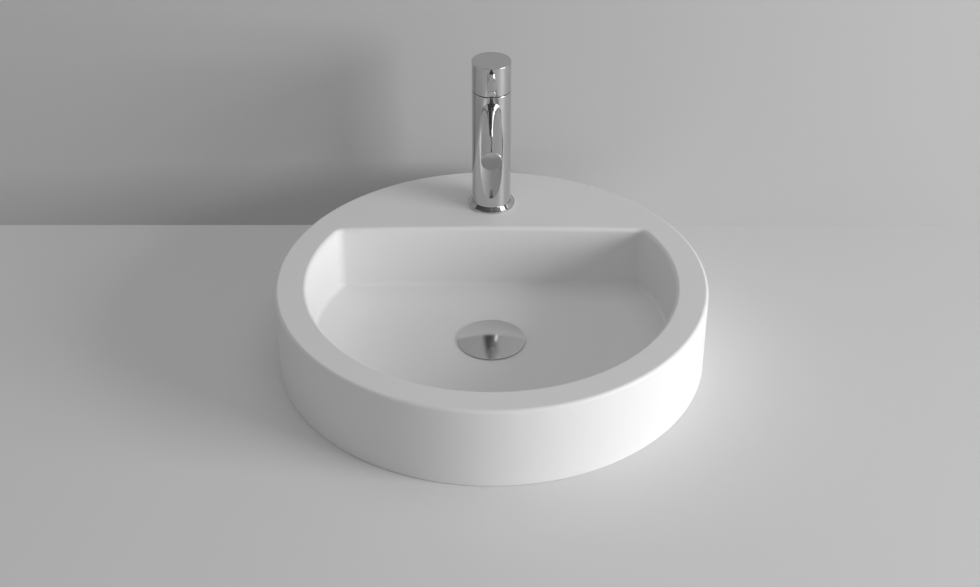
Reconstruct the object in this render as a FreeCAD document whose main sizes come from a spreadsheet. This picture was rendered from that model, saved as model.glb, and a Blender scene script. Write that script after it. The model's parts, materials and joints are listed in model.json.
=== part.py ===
import FreeCAD, Part
import math
import os
import Sketcher

# A round countertop basin with a D-shaped bowl, a single-lever pillar mixer on its rear deck and a
# click waste. Lengths in millimetres. The origin is the centre of the foot ring, +Z is up, +Y is
# the rear, and the user stands at -Y.

# Driving dimensions, each with what it measures
SIZES = {
    # basin
    "basin_radius": (215.0, "outside of the basin"),
    "basin_height": (87.0, "counter to rim and deck"),
    "rim_width": (31.9, "rim between the outside and the bowl"),
    "deck_depth": (119.0, "rear deck, from its front edge to the basin's rear"),
    "deck_bow_radius": (3200.0, "slight forward bow of the deck's front edge"),
    "bowl_corner_radius": (11.0, "upright corners where the bowl meets the deck"),
    "floor_height": (15.5, "bowl floor at the drain, above the counter"),
    "floor_fall": (1.8, "rise of the floor from the drain to the wall"),
    "floor_fillet": (5.0, "round between the floor and the walls"),
    "rim_inner_fillet": (4.0, "round of the rim's inner edge"),
    "rim_outer_fillet": (3.5, "round of the rim's outer edge"),
    "foot_fillet": (1.6, "round of the bottom edge"),
    "foot_width": (10.0, "foot ring, also the wall round the rear hollow"),
    "foot_height": (2.0, "foot ring's height below the basin's underside"),
    "bowl_wall": (10.0, "wall between the bowl and the rear hollow"),
    "deck_thickness": (14.0, "deck under the mixer"),
    # waste
    "waste_forward": (6.4, "waste axis in front of the basin's axis"),
    "drain_radius": (23.0, "hole in the floor"),
    "waste_recess_radius": (33.0, "recess in the floor for the waste's flange"),
    "waste_flange_radius": (32.5, "flange of the waste body"),
    "waste_flange_thickness": (2.0, "flange of the waste body"),
    "waste_thread_radius": (20.95, "outside of the waste's thread"),
    "waste_bore_radius": (18.5, "inside of the waste tube"),
    "waste_tail_length": (40.0, "thread left free below the back nut"),
    "waste_relief_width": (3.0, "thread relief above the free thread"),
    "waste_relief_depth": (1.15, "thread relief above the free thread"),
    "flange_seal_thickness": (1.0, "seal between the flange and the floor"),
    "under_seal_thickness": (4.0, "rubber seal under the basin"),
    "slip_washer_thickness": (1.5, "washer between the under seal and the back nut"),
    "waste_washer_radius": (32.0, "under seal and slip washer"),
    "back_nut_height": (10.0, "back nut of the waste"),
    "back_nut_flats": (54.0, "back nut of the waste, across flats"),
    "spider_height": (8.0, "cross arms inside the waste tube"),
    "spider_arm_width": (3.0, "cross arms inside the waste tube"),
    "spider_hub_radius": (9.0, "hub of the cross arms"),
    "spider_drop": (23.0, "top of the cross arms below the flange's top"),
    "click_radius": (6.4, "outside of the click housing"),
    "click_bore_radius": (4.6, "inside of the click housing"),
    "click_flange_radius": (8.5, "shoulder of the click housing on the hub"),
    "click_flange_thickness": (2.0, "shoulder of the click housing on the hub"),
    "click_neck_height": (6.0, "click housing above its shoulder"),
    "click_guide_height": (2.0, "guide at the top of the click housing"),
    "click_floor": (1.0, "bottom wall of the click housing"),
    "plunger_radius": (3.0, "rod under the plug"),
    "plunger_collar_radius": (4.3, "collar of the plunger that the spring pushes"),
    "plunger_collar_height": (2.0, "collar of the plunger"),
    "waste_lift": (8.0, "rise of the cap when it is open"),
    "waste_press": (0.6, "travel of the cap when it is pressed"),
    "spring_wall": (0.9, "spring sleeve inside the click housing"),
    "spring_length": (7.5, "spring with the cap closed"),
    "cap_radius": (34.4, "domed waste cap"),
    "cap_rise": (3.1, "height of the cap's dome"),
    "cap_edge": (0.6, "edge of the cap"),
    "cap_gap": (0.7, "pressed cap above the floor"),
    "plug_radius": (17.0, "plug under the cap"),
    "plug_height": (8.5, "plug under the cap"),
    "plug_seal_radius": (1.3, "section of the plug's ring seal"),
    "plug_seal_height": (3.8, "middle of the ring seal above the plug's lower face"),
    "plug_seal_gap": (0.3, "plug seal inside the waste tube"),
    # mixer, outside
    "mixer_inset": (67.5, "mixer axis in front of the basin's rear"),
    "body_radius": (20.3, "upright body"),
    "body_height": (134.8, "top of the body above the deck"),
    "edge_break": (0.4, "small bevel on turned edges"),
    "seam_gap": (0.8, "gap between the body and the handle cap"),
    "cap_height": (31.5, "handle cap"),
    "flange_radius": (24.8, "base flange"),
    "flange_rim": (2.2, "height of the flange's flat rim"),
    "flange_height": (5.6, "top of the flange's shoulder above the deck"),
    "flange_shoulder_radius": (23.9, "foot of the flange's sloping shoulder"),
    "flange_lip": (0.5, "top edge of the flange's shoulder"),
    "flange_floor": (1.0, "flange under the body"),
    "flange_hole_radius": (15.0, "opening in the flange for hoses and stud"),
    "base_seal_thickness": (1.0, "seal under the flange"),
    "base_seal_inner": (18.5, "seal under the flange"),
    "base_seal_outer": (22.0, "seal under the flange"),
    "spout_radius": (10.3, "spout"),
    "spout_reach": (121.3, "end of the spout in front of the mixer axis"),
    "spout_drop": (16.5, "spout axis below the body's top"),
    "spout_bevel": (0.6, "bevel of the spout's end"),
    "spout_bore_radius": (5.5, "waterway in the spout"),
    "spout_end_wall": (7.0, "closed end of the spout"),
    "spigot_radius": (8.0, "hole in the body for the spout's spigot"),
    "spigot_depth": (6.5, "hole in the body for the spout's spigot"),
    "spout_seal_section": (0.7, "section of the spigot's ring seal"),
    "spout_seal_radius": (7.2, "middle of the spigot's ring seal"),
    "spout_seal_inset": (2.6, "middle of the ring seal in front of the spigot's end"),
    "lever_radius": (4.3, "pin lever"),
    "lever_length": (42.5, "pin lever in front of the cap"),
    "lever_height": (24.3, "lever axis above the cap's lower edge"),
    "lever_seat": (0.9, "depth at which the lever sits in the cap"),
    "lever_spigot_radius": (2.95, "threaded end of the lever"),
    "lever_spigot_length": (9.0, "threaded end of the lever"),
    # aerator
    "aerator_setback": (13.0, "outlet axis behind the spout's end"),
    "aerator_bore_radius": (7.0, "outlet hole in the spout"),
    "aerator_recess": (3.0, "aerator above the spout's underside"),
    "aerator_height": (3.2, "aerator housing"),
    "aerator_wall": (1.3, "wall of the aerator housing"),
    "aerator_insert_height": (2.4, "perforated insert"),
    "aerator_hole_radius": (0.6, "holes in the insert"),
    "aerator_hole_ring": (3.3, "ring of holes in the insert"),
    "aerator_holes": (10, "number of holes in the insert"),
    "aerator_seal_thickness": (1.0, "washer above the aerator"),
    "aerator_throat_radius": (4.6, "waterway above the aerator"),
    # waterways and fixing
    "inlet_spread": (7.6, "each inlet beside the mixer axis"),
    "inlet_forward": (3.0, "inlets in front of the mixer axis"),
    "inlet_radius": (2.5, "waterways where they reach the cartridge"),
    "inlet_bore_radius": (4.1, "waterways above the hoses' threads"),
    "inlet_bore_length": (60.0, "wide part of the waterways, with the hoses' threads"),
    "inlet_thread_radius": (4.5, "threaded inlet for a hose"),
    "inlet_thread_depth": (12.0, "threaded inlet for a hose"),
    "outlet_back": (6.5, "mixed-water port behind the mixer axis"),
    "outlet_radius": (2.8, "mixed-water port"),
    "outlet_drop": (5.0, "cross passage below the chamber's floor"),
    "passage_radius": (3.4, "cross passage to the spout"),
    "stud_back": (9.5, "fixing stud behind the mixer axis"),
    "stud_radius": (4.0, "fixing stud"),
    "stud_in_body": (14.0, "fixing stud inside the body"),
    "stud_below": (28.0, "fixing stud below the deck"),
    "tap_hole_radius": (17.5, "hole in the deck"),
    "shoe_radius": (25.0, "horseshoe washers"),
    "shoe_slot_half": (13.8, "half of the horseshoes' slot"),
    "shoe_slot_back": (4.0, "end of the slot behind the mixer axis"),
    "rubber_shoe_thickness": (3.0, "rubber horseshoe"),
    "steel_shoe_thickness": (2.0, "steel horseshoe"),
    "fixing_nut_height": (6.5, "nut on the stud"),
    "fixing_nut_flats": (13.0, "nut on the stud, across flats"),
    # cartridge, heights one on another from the chamber's floor
    "chamber_depth": (15.2, "cartridge chamber below the body's top"),
    "chamber_radius": (12.7, "cartridge chamber"),
    "nut_thread_radius": (16.0, "thread for the cartridge nut"),
    "nut_thread_depth": (6.6, "thread for the cartridge nut"),
    "cartridge_radius": (12.5, "cartridge"),
    "base_height": (4.0, "cartridge base"),
    "port_seal_section": (0.6, "section of the port seals"),
    "port_lap": (0.6, "how far each half of a port in the base passes the base's middle"),
    "port_spread": (4.7, "inlet ports of the fixed disc beside the mixer axis"),
    "port_forward": (4.1, "inlet ports of the fixed disc in front of the mixer axis"),
    "port_radius": (2.0, "inlet ports of the fixed disc"),
    "port_back": (5.0, "outlet port of the fixed disc behind the mixer axis"),
    "port_outlet_radius": (2.4, "outlet port of the fixed disc"),
    "disc_thickness": (2.5, "each ceramic disc"),
    "disc_film": (0.05, "water film between the discs"),
    "fixed_disc_radius": (11.6, "fixed disc"),
    "moving_disc_radius": (9.4, "moving disc"),
    "mix_pocket_radius": (3.9, "mixing pocket in the moving disc"),
    "mix_pocket_back": (6.0, "reach of the mixing pocket to the rear"),
    "mix_pocket_depth": (1.2, "mixing pocket in the moving disc"),
    "carrier_radius": (8.4, "carrier on the moving disc"),
    "carrier_height": (3.0, "carrier on the moving disc"),
    "collar_lift": (0.4, "collar above the carrier"),
    "collar_flange_height": (1.6, "flange of the turning collar"),
    "collar_flange_radius": (9.5, "flange of the turning collar"),
    "collar_radius": (8.0, "turning collar"),
    "collar_above_pivot": (4.6, "top of the collar above the pivot"),
    "housing_neck_radius": (11.5, "neck of the cartridge housing"),
    "housing_wall": (0.7, "skirt of the cartridge housing"),
    "housing_shoulder": (9.0, "shoulder of the housing above the chamber's floor"),
    "housing_above_pivot": (3.6, "top of the housing above the pivot"),
    "nut_collar_radius": (15.0, "cartridge nut above its thread"),
    "nut_collar_height": (4.6, "cartridge nut above the body"),
    "nut_slot_width": (4.0, "wrench slots of the cartridge nut"),
    "nut_slot_depth": (2.0, "wrench slots of the cartridge nut"),
    "stem_width": (6.0, "square stem"),
    "stem_length": (28.0, "stem above the pivot"),
    "stem_below": (2.4, "square stem below the pivot"),
    "stem_arm": (5.0, "ball of the stem below the pivot"),
    "stem_neck_radius": (1.2, "neck above the ball"),
    "ball_radius": (1.75, "ball of the stem"),
    "pivot_radius": (1.2, "pivot pin"),
    "lift_angle": (18.0, "lift of the handle, in degrees"),
    "cap_cavity_radius": (17.0, "hollow of the handle cap"),
    "cap_cavity_height": (11.4, "hollow of the handle cap"),
    "grub_radius": (2.5, "grub screw"),
    "grub_length": (7.0, "grub screw"),
    "grub_key_radius": (1.4, "hexagon socket of the grub screw"),
    "grub_key_depth": (3.5, "hexagon socket of the grub screw"),
    "grub_cover_length": (3.0, "cover in the grub screw's hole"),
    # clearances
    "running_clearance": (0.06, "turning and sliding round fits"),
    "thread_clearance": (0.05, "screwed and pressed-in round fits"),
    "loose_clearance": (0.2, "gaps between moving flats"),
}

doc = FreeCAD.newDocument("countertop_basin")
sheet = doc.addObject("Spreadsheet::Sheet", "sizes")
for row, (alias, (number, meaning)) in enumerate(SIZES.items(), 1):
    sheet.set(f"A{row}", alias)
    sheet.set(f"B{row}", str(number))
    sheet.setAlias(f"B{row}", alias)
    sheet.set(f"C{row}", meaning)
doc.recompute()


class Size:
    """A length: the expression that the document evaluates, and its present value."""

    def __init__(self, text, value):
        self.text = text
        self.value = value

    def __add__(self, other):
        other = as_size(other)
        return Size(f"({self.text} + {other.text})", self.value + other.value)

    def __sub__(self, other):
        other = as_size(other)
        return Size(f"({self.text} - {other.text})", self.value - other.value)

    def __mul__(self, other):
        other = as_size(other)
        return Size(f"({self.text} * {other.text})", self.value * other.value)

    def __neg__(self):
        return Size(f"(0 - {self.text})", -self.value)


def as_size(number):
    return number if isinstance(number, Size) else Size(str(number), float(number))


def size(alias):
    return Size(f"sizes.{alias}", float(sheet.get(alias)))


def trig(name, angle):
    """The sine, cosine or tangent of an angle in degrees."""
    return Size(f"{name}({angle.text})", getattr(math, name)(math.radians(angle.value)))


def bind(item, path, length):
    item.setExpression(path, as_size(length).text)


# Bodies and features
NODES = []
ZERO = as_size(0)
ALONG_Z = FreeCAD.Rotation()
TO_FRONT = FreeCAD.Rotation(FreeCAD.Vector(1, 0, 0), 90)
TO_REAR = FreeCAD.Rotation(FreeCAD.Vector(1, 0, 0), -90)
TO_RIGHT = FreeCAD.Rotation(FreeCAD.Vector(0, 1, 0), 90)
TIPPED_BACK = FreeCAD.Rotation(FreeCAD.Vector(1, 0, 0), 1)
# how far a cut runs past the face that it opens, and how near an edge is to the place it is sought at
MARGIN = as_size(1)
CLOSE = 0.05
# a regular hexagon's corner radius as a share of its width across flats
HEXAGON_CORNER = round(1 / math.sqrt(3), 6)


def new_body(label):
    body = doc.addObject("PartDesign::Body", label)
    body.Label = label
    NODES.append(body)
    return body


def place(item, at, turn=ALONG_Z):
    item.Placement = FreeCAD.Placement(FreeCAD.Vector(), turn)
    for axis, length in zip("xyz", at):
        bind(item, f"Placement.Base.{axis}", length)


def solid(body, kind, name, sizes, at, turn=ALONG_Z):
    """Add or cut a primitive, such as AdditiveBox, with its sizes and place bound."""
    feature = body.newObject(f"PartDesign::{kind}", name)
    for prop, length in sizes.items():
        bind(feature, prop, length)
    place(feature, at, turn)
    return feature


def drill(body, name, radius, depth, at, turn=ALONG_Z):
    return solid(body, "SubtractiveCylinder", name, {"Radius": radius, "Height": depth}, at, turn)


def origin_feature(body, role):
    """The body's own plane or axis, such as XY_Plane or Z_Axis."""
    return next(item for item in body.Origin.OriginFeatures if item.Role == role)


def new_sketch(body, name, role, level=None):
    sketch = body.newObject("Sketcher::SketchObject", name)
    sketch.AttachmentSupport = [(origin_feature(body, role), "")]
    sketch.MapMode = "FlatFace"
    if level is not None:
        bind(sketch, "AttachmentOffset.Base.z", level)
    return sketch


def constrain(sketch, kind, where, length, name):
    index = sketch.addConstraint(Sketcher.Constraint(kind, *where, length.value))
    sketch.renameConstraint(index, name)
    bind(sketch, f"Constraints.{name}", length)


def outline(sketch, corners, domes=()):
    """Closed outline through corners. A side listed in domes is an arc centred on the upright axis."""
    corners = [(as_size(across), as_size(up)) for across, up in corners]
    count = len(corners)
    for side in range(count):
        start = FreeCAD.Vector(corners[side][0].value, corners[side][1].value, 0)
        end_corner = corners[(side + 1) % count]
        end = FreeCAD.Vector(end_corner[0].value, end_corner[1].value, 0)
        if side in domes:
            height = (end.y**2 + end.x**2 - start.y**2 - start.x**2) / (2 * (end.y - start.y))
            middle = FreeCAD.Vector(0, height, 0)
            radius = (start - middle).Length
            angles = [math.atan2(p.y - height, p.x) for p in (start, end)]
            circle = Part.Circle(middle, FreeCAD.Vector(0, 0, 1), radius)
            sketch.addGeometry(Part.ArcOfCircle(circle, *angles), False)
            sketch.addConstraint(Sketcher.Constraint("PointOnObject", side, 3, -2))
        else:
            sketch.addGeometry(Part.LineSegment(start, end), False)
    for side in range(count):
        sketch.addConstraint(Sketcher.Constraint("Coincident", side, 2, (side + 1) % count, 1))
        constrain(sketch, "DistanceX", (side, 1), corners[side][0], f"across_{side}")
        constrain(sketch, "DistanceY", (side, 1), corners[side][1], f"up_{side}")


def revolve(body, kind, name, corners, domes=()):
    sketch = new_sketch(body, f"{name}_outline", "XZ_Plane")
    outline(sketch, corners, domes)
    feature = body.newObject(f"PartDesign::{kind}", name)
    feature.Profile = sketch
    feature.ReferenceAxis = (sketch, ["V_Axis"])
    feature.Angle = 360
    return feature


def turned(label, corners, at=(ZERO, ZERO, ZERO), domes=()):
    """A piece turned about the upright axis through at, from corners as pairs of radius and height."""
    body = new_body(label)
    revolve(body, "Revolution", f"{label}_turned", corners, domes)
    place(body, at)
    return body


def ring(label, inner, outer, low, high, at=(ZERO, ZERO, ZERO)):
    return turned(label, [(inner, low), (outer, low), (outer, high), (inner, high)], at)


def edge_names(body, test):
    """Names of the edges whose curve and middle point pass the test."""
    doc.recompute()
    names = []
    for index, edge in enumerate(body.Tip.Shape.Edges, 1):
        middle = edge.valueAt((edge.FirstParameter + edge.LastParameter) / 2)
        if test(edge, middle):
            names.append(f"Edge{index}")
    return names


def dress(body, kind, name, prop, length, test):
    names = edge_names(body, test)
    base = body.Tip
    feature = body.newObject(f"PartDesign::{kind}", name)
    feature.Base = (base, names)
    bind(feature, prop, length)
    return feature


def near(number, length):
    return abs(number - length.value) < CLOSE


def level_edge(edge, height):
    return near(edge.BoundBox.ZMin, height) and near(edge.BoundBox.ZMax, height)


def end_edge(edge, along):
    return near(edge.BoundBox.YMin, along) and near(edge.BoundBox.YMax, along)


# Levels and places that several pieces share
deck = size("basin_height")
bowl_radius = size("basin_radius") - size("rim_width")
wall_foot = size("floor_height") + size("floor_fall")
deck_line = size("basin_radius") - size("deck_depth")
mixer_y = size("basin_radius") - size("mixer_inset")
on_mixer = (ZERO, mixer_y, ZERO)
waste_y = -size("waste_forward")
on_waste = (ZERO, waste_y, ZERO)

flange_top = size("floor_height")
flange_under = flange_top - size("waste_flange_thickness")
recess_floor = flange_under - size("flange_seal_thickness")
basin_under = size("foot_height")
slip_top = basin_under - size("under_seal_thickness")
back_nut_top = slip_top - size("slip_washer_thickness")
back_nut_under = back_nut_top - size("back_nut_height")
relief_top = back_nut_under - size("waste_relief_width")
tail_top = relief_top - size("waste_relief_width")
tail_end = tail_top - size("waste_tail_length")
spider_top = flange_top - size("spider_drop")
click_top = spider_top + size("click_neck_height")

body_under = deck + size("base_seal_thickness") + size("flange_floor")
body_top = deck + size("body_height")
cap_low = body_top + size("seam_gap")
cap_top = cap_low + size("cap_height")
pivot_z = cap_low
lever_z = cap_low + size("lever_height")
spout_z = body_top - size("spout_drop")
chamber_floor = body_top - size("chamber_depth")
fixed_disc_low = chamber_floor + size("base_height")
moving_disc_low = fixed_disc_low + size("disc_thickness") + size("disc_film")
carrier_low = moving_disc_low + size("disc_thickness")
collar_low = carrier_low + size("carrier_height") + size("collar_lift")
collar_step = collar_low + size("collar_flange_height")
nut_low = chamber_floor + size("housing_shoulder")

# Waterways beside and behind the mixer axis, with their radius: in the body, then in the fixed disc
body_ports = {
    "left_inlet": (-size("inlet_spread"), -size("inlet_forward"), size("inlet_radius")),
    "right_inlet": (size("inlet_spread"), -size("inlet_forward"), size("inlet_radius")),
    "outlet": (ZERO, size("outlet_back"), size("outlet_radius")),
}
disc_ports = {
    "left_inlet": (-size("port_spread"), -size("port_forward"), size("port_radius")),
    "right_inlet": (size("port_spread"), -size("port_forward"), size("port_radius")),
    "outlet": (ZERO, size("port_back"), size("port_outlet_radius")),
}


def two_arc_sketch(body, name, level, outer_radius, front_line, front_radius):
    """Area behind a bowed front line and inside a circle about the basin's axis."""
    sketch = new_sketch(body, name, "XY_Plane", level)
    front_centre = front_line - front_radius
    far, near_r, drop = outer_radius.value, front_radius.value, front_centre.value
    cross_y = (far**2 - near_r**2 + drop**2) / (2 * drop)
    cross_x = math.sqrt(far**2 - cross_y**2)
    up = FreeCAD.Vector(0, 0, 1)
    outer_angle = math.atan2(cross_y, cross_x)
    front_angle = math.atan2(cross_y - drop, cross_x)
    outer = Part.Circle(FreeCAD.Vector(), up, far)
    front = Part.Circle(FreeCAD.Vector(0, drop, 0), up, near_r)
    sketch.addGeometry(Part.ArcOfCircle(outer, outer_angle, math.pi - outer_angle), False)
    sketch.addGeometry(Part.ArcOfCircle(front, front_angle, math.pi - front_angle), False)
    sketch.addConstraint(Sketcher.Constraint("Coincident", 0, 3, -1, 1))
    sketch.addConstraint(Sketcher.Constraint("PointOnObject", 1, 3, -2))
    sketch.addConstraint(Sketcher.Constraint("Coincident", 0, 1, 1, 1))
    sketch.addConstraint(Sketcher.Constraint("Coincident", 0, 2, 1, 2))
    constrain(sketch, "DistanceY", (1, 3), front_centre, "front_centre")
    constrain(sketch, "Radius", (0,), outer_radius, "outer_radius")
    constrain(sketch, "Radius", (1,), front_radius, "front_radius")
    return sketch


# Basin: a disc, the round bowl cut out of it, the deck filled back in, then the rounds
def make_basin():
    body = new_body("basin")
    radius = size("basin_radius")
    solid(body, "AdditiveCylinder", "disc", {"Radius": radius, "Height": deck}, (ZERO, ZERO, ZERO))
    bowl = [
        (ZERO, size("floor_height")),
        (bowl_radius, wall_foot),
        (bowl_radius, deck + MARGIN),
        (ZERO, deck + MARGIN),
    ]
    revolve(body, "Groove", "round_bowl", bowl)
    fill_radius = radius - size("rim_width") * 0.5
    fill = two_arc_sketch(body, "deck_area", ZERO, fill_radius, deck_line, size("deck_bow_radius"))
    pad = body.newObject("PartDesign::Pad", "deck")
    pad.Profile = fill
    bind(pad, "Length", deck)
    pad.Refine = True

    floor_low = size("floor_height").value - CLOSE
    floor_high = wall_foot.value + CLOSE

    def in_bowl(point):
        return math.hypot(point.x, point.y) < bowl_radius.value + CLOSE and point.z > floor_low

    def deck_corner(edge, middle):
        upright = near(edge.BoundBox.ZMax, deck) and edge.BoundBox.ZMin < floor_high
        return upright and in_bowl(middle) and middle.y > CLOSE

    def at_floor(edge, middle):
        curved = not isinstance(edge.Curve, (Part.Line, Part.LineSegment))
        return curved and in_bowl(middle) and middle.z < floor_high

    def at_rim(edge, middle):
        return in_bowl(middle) and level_edge(edge, deck)

    def at_outer_rim(edge, middle):
        return near(math.hypot(middle.x, middle.y), radius) and level_edge(edge, deck)

    def at_foot(edge, middle):
        return near(math.hypot(middle.x, middle.y), radius) and level_edge(edge, ZERO)

    dress(body, "Fillet", "bowl_corners", "Radius", size("bowl_corner_radius"), deck_corner)
    dress(body, "Fillet", "floor_round", "Radius", size("floor_fillet"), at_floor)
    dress(body, "Fillet", "rim_inner_round", "Radius", size("rim_inner_fillet"), at_rim)
    dress(body, "Fillet", "rim_outer_round", "Radius", size("rim_outer_fillet"), at_outer_rim)
    dress(body, "Fillet", "foot_round", "Radius", size("foot_fillet"), at_foot)

    inner = radius - size("foot_width")
    drill(body, "underside", inner, size("foot_height"), (ZERO, ZERO, ZERO))
    hollow_top = deck - size("deck_thickness")
    hollow_line = deck_line + size("bowl_wall")
    hollow_bow = size("deck_bow_radius") + size("bowl_wall")
    area = two_arc_sketch(body, "hollow_area", hollow_top, inner, hollow_line, hollow_bow)
    pocket = body.newObject("PartDesign::Pocket", "rear_hollow")
    pocket.Profile = area
    bind(pocket, "Length", hollow_top)
    hole_at = (ZERO, mixer_y, hollow_top - MARGIN)
    drill(body, "tap_hole", size("tap_hole_radius"), size("deck_thickness") + MARGIN * 2, hole_at)
    drill(body, "drain", size("drain_radius"), wall_foot, on_waste)
    recess_depth = wall_foot - recess_floor
    drill(body, "waste_recess", size("waste_recess_radius"), recess_depth, (ZERO, waste_y, recess_floor))


# Waste: flange and thread in one tube, with a spider that carries the click housing
def make_waste():
    thread = size("waste_thread_radius")
    bore = size("waste_bore_radius")
    relief = thread - size("waste_relief_depth")
    body = turned("waste_body", [
        (bore, tail_end),
        (thread, tail_end),
        (thread, tail_top),
        (relief, tail_top),
        (relief, relief_top),
        (thread, relief_top),
        (thread, flange_under),
        (size("waste_flange_radius"), flange_under),
        (size("waste_flange_radius"), flange_top - size("edge_break")),
        (size("waste_flange_radius") - size("edge_break"), flange_top),
        (bore, flange_top),
    ], on_waste)
    spider_low = spider_top - size("spider_height")
    half = (bore + relief) * 0.5
    arm = size("spider_arm_width")
    tall = size("spider_height")
    solid(body, "AdditiveBox", "arm_across", {"Length": half * 2, "Width": arm, "Height": tall},
          (-half, -arm * 0.5, spider_low))
    solid(body, "AdditiveBox", "arm_along", {"Length": arm, "Width": half * 2, "Height": tall},
          (-arm * 0.5, -half, spider_low))
    hub = {"Radius": size("spider_hub_radius"), "Height": tall}
    solid(body, "AdditiveCylinder", "hub", hub, (ZERO, ZERO, spider_low))
    hub_bore = size("click_radius") + size("thread_clearance")
    drill(body, "hub_bore", hub_bore, tall, (ZERO, ZERO, spider_low))

    around = thread + size("loose_clearance")
    washer = size("waste_washer_radius")
    flange = size("waste_flange_radius")
    ring("waste_flange_seal", size("drain_radius"), flange, recess_floor, flange_under, on_waste)
    ring("waste_under_seal", around, washer, slip_top, basin_under, on_waste)
    ring("waste_slip_washer", around, washer, back_nut_top, slip_top, on_waste)
    hex_nut("waste_back_nut", size("back_nut_flats"), thread + size("thread_clearance"),
            size("back_nut_height"), (ZERO, waste_y, back_nut_under))
    make_click()


def hex_nut(label, flats, bore, height, at):
    body = new_body(label)
    prism = body.newObject("PartDesign::AdditivePrism", f"{label}_hexagon")
    prism.Polygon = 6
    bind(prism, "Circumradius", flats * HEXAGON_CORNER)
    bind(prism, "Height", height)
    drill(body, f"{label}_bore", bore, height, (ZERO, ZERO, ZERO))
    place(body, at)


# Click mechanism and the cap that it lifts
def make_click():
    outer = size("click_radius")
    bore = size("click_bore_radius")
    guide = size("plunger_radius") + size("running_clearance")
    rod = size("plunger_radius")
    collar_top = click_top - size("click_guide_height") - size("waste_lift") - size("loose_clearance")
    collar_low_face = collar_top - size("plunger_collar_height")
    spring_low = collar_low_face - size("spring_length")
    housing_low = spring_low - size("click_floor")
    turned("waste_click_housing", [
        (ZERO, housing_low),
        (outer, housing_low),
        (outer, spider_top),
        (size("click_flange_radius"), spider_top),
        (size("click_flange_radius"), spider_top + size("click_flange_thickness")),
        (outer, spider_top + size("click_flange_thickness")),
        (outer, click_top),
        (guide, click_top),
        (guide, click_top - size("click_guide_height")),
        (bore, click_top - size("click_guide_height")),
        (bore, spring_low),
        (ZERO, spring_low),
    ], on_waste)
    plug_top = size("floor_height") + size("waste_press") + size("cap_gap")
    plug_low = plug_top - size("plug_height")
    turned("waste_plunger", [
        (ZERO, collar_low_face),
        (size("plunger_collar_radius"), collar_low_face),
        (size("plunger_collar_radius"), collar_top),
        (rod, collar_top),
        (rod, plug_low),
        (ZERO, plug_low),
    ], on_waste)
    ring("waste_spring", bore - size("loose_clearance") - size("spring_wall"),
         bore - size("loose_clearance"), spring_low, collar_low_face, on_waste)

    section = size("plug_seal_radius")
    seal_middle = size("waste_bore_radius") - size("plug_seal_gap") - section
    seal_z = plug_low + size("plug_seal_height")
    groove = section + size("thread_clearance")
    plug = turned("waste_plug", [
        (ZERO, plug_low),
        (size("plug_radius") - size("edge_break"), plug_low),
        (size("plug_radius"), plug_low + size("edge_break")),
        (size("plug_radius"), plug_top),
        (ZERO, plug_top),
    ], on_waste)
    solid(plug, "SubtractiveTorus", "seal_groove", {"Radius1": seal_middle, "Radius2": groove},
          (ZERO, ZERO, seal_z))
    seal = new_body("waste_plug_seal")
    solid(seal, "AdditiveTorus", "plug_seal_ring", {"Radius1": seal_middle, "Radius2": section},
          (ZERO, ZERO, seal_z))
    place(seal, on_waste)
    turned("waste_cap", [
        (ZERO, plug_top),
        (size("cap_radius"), plug_top),
        (size("cap_radius"), plug_top + size("cap_edge")),
        (ZERO, plug_top + size("cap_edge") + size("cap_rise")),
    ], on_waste, domes=(2,))


# Mixer: upright body with its waterways
def make_mixer_body():
    radius = size("body_radius")
    bevel = size("edge_break")
    thread_low = body_top - size("nut_thread_depth")
    body = turned("mixer_body", [
        (ZERO, body_under),
        (radius, body_under),
        (radius, body_top - bevel),
        (radius - bevel, body_top),
        (size("nut_thread_radius"), body_top),
        (size("nut_thread_radius"), thread_low),
        (size("chamber_radius"), thread_low),
        (size("chamber_radius"), chamber_floor),
        (ZERO, chamber_floor),
    ], on_mixer)
    for name in ("left_inlet", "right_inlet"):
        across, back, port_radius = body_ports[name]
        drill(body, f"{name}_way", port_radius, chamber_floor - body_under, (across, back, body_under))
        drill(body, f"{name}_bore", size("inlet_bore_radius"), size("inlet_bore_length"),
              (across, back, body_under))
        drill(body, f"{name}_thread", size("inlet_thread_radius"), size("inlet_thread_depth"),
              (across, back, body_under))
    drill(body, "stud_hole", size("stud_radius") + size("thread_clearance"), size("stud_in_body"),
          (ZERO, size("stud_back"), body_under))
    passage_z = chamber_floor - size("outlet_drop")
    passage_end = size("outlet_back") + size("passage_radius") + MARGIN
    drill(body, "outlet_way", size("outlet_radius"), size("outlet_drop"),
          (ZERO, size("outlet_back"), passage_z))
    drill(body, "outlet_passage", size("passage_radius"), passage_end + radius - size("spigot_depth"),
          (ZERO, passage_end, passage_z), TO_FRONT)
    drill(body, "spigot_hole", size("spigot_radius"), size("spigot_depth"),
          (ZERO, size("spigot_depth") - radius, spout_z), TO_FRONT)

    seal_roof = deck + size("base_seal_thickness")
    shoulder = radius + size("thread_clearance")
    turned("base_flange", [
        (size("flange_hole_radius"), seal_roof),
        (size("base_seal_outer") + size("thread_clearance"), seal_roof),
        (size("base_seal_outer") + size("thread_clearance"), deck),
        (size("flange_radius"), deck),
        (size("flange_radius"), deck + size("flange_rim") - size("edge_break")),
        (size("flange_radius") - size("edge_break"), deck + size("flange_rim")),
        (size("flange_shoulder_radius"), deck + size("flange_rim")),
        (shoulder + size("flange_lip"), deck + size("flange_height")),
        (shoulder, deck + size("flange_height")),
        (shoulder, body_under),
        (size("flange_hole_radius"), body_under),
    ], on_mixer)
    ring("base_seal", size("base_seal_inner"), size("base_seal_outer"), deck, seal_roof, on_mixer)


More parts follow.
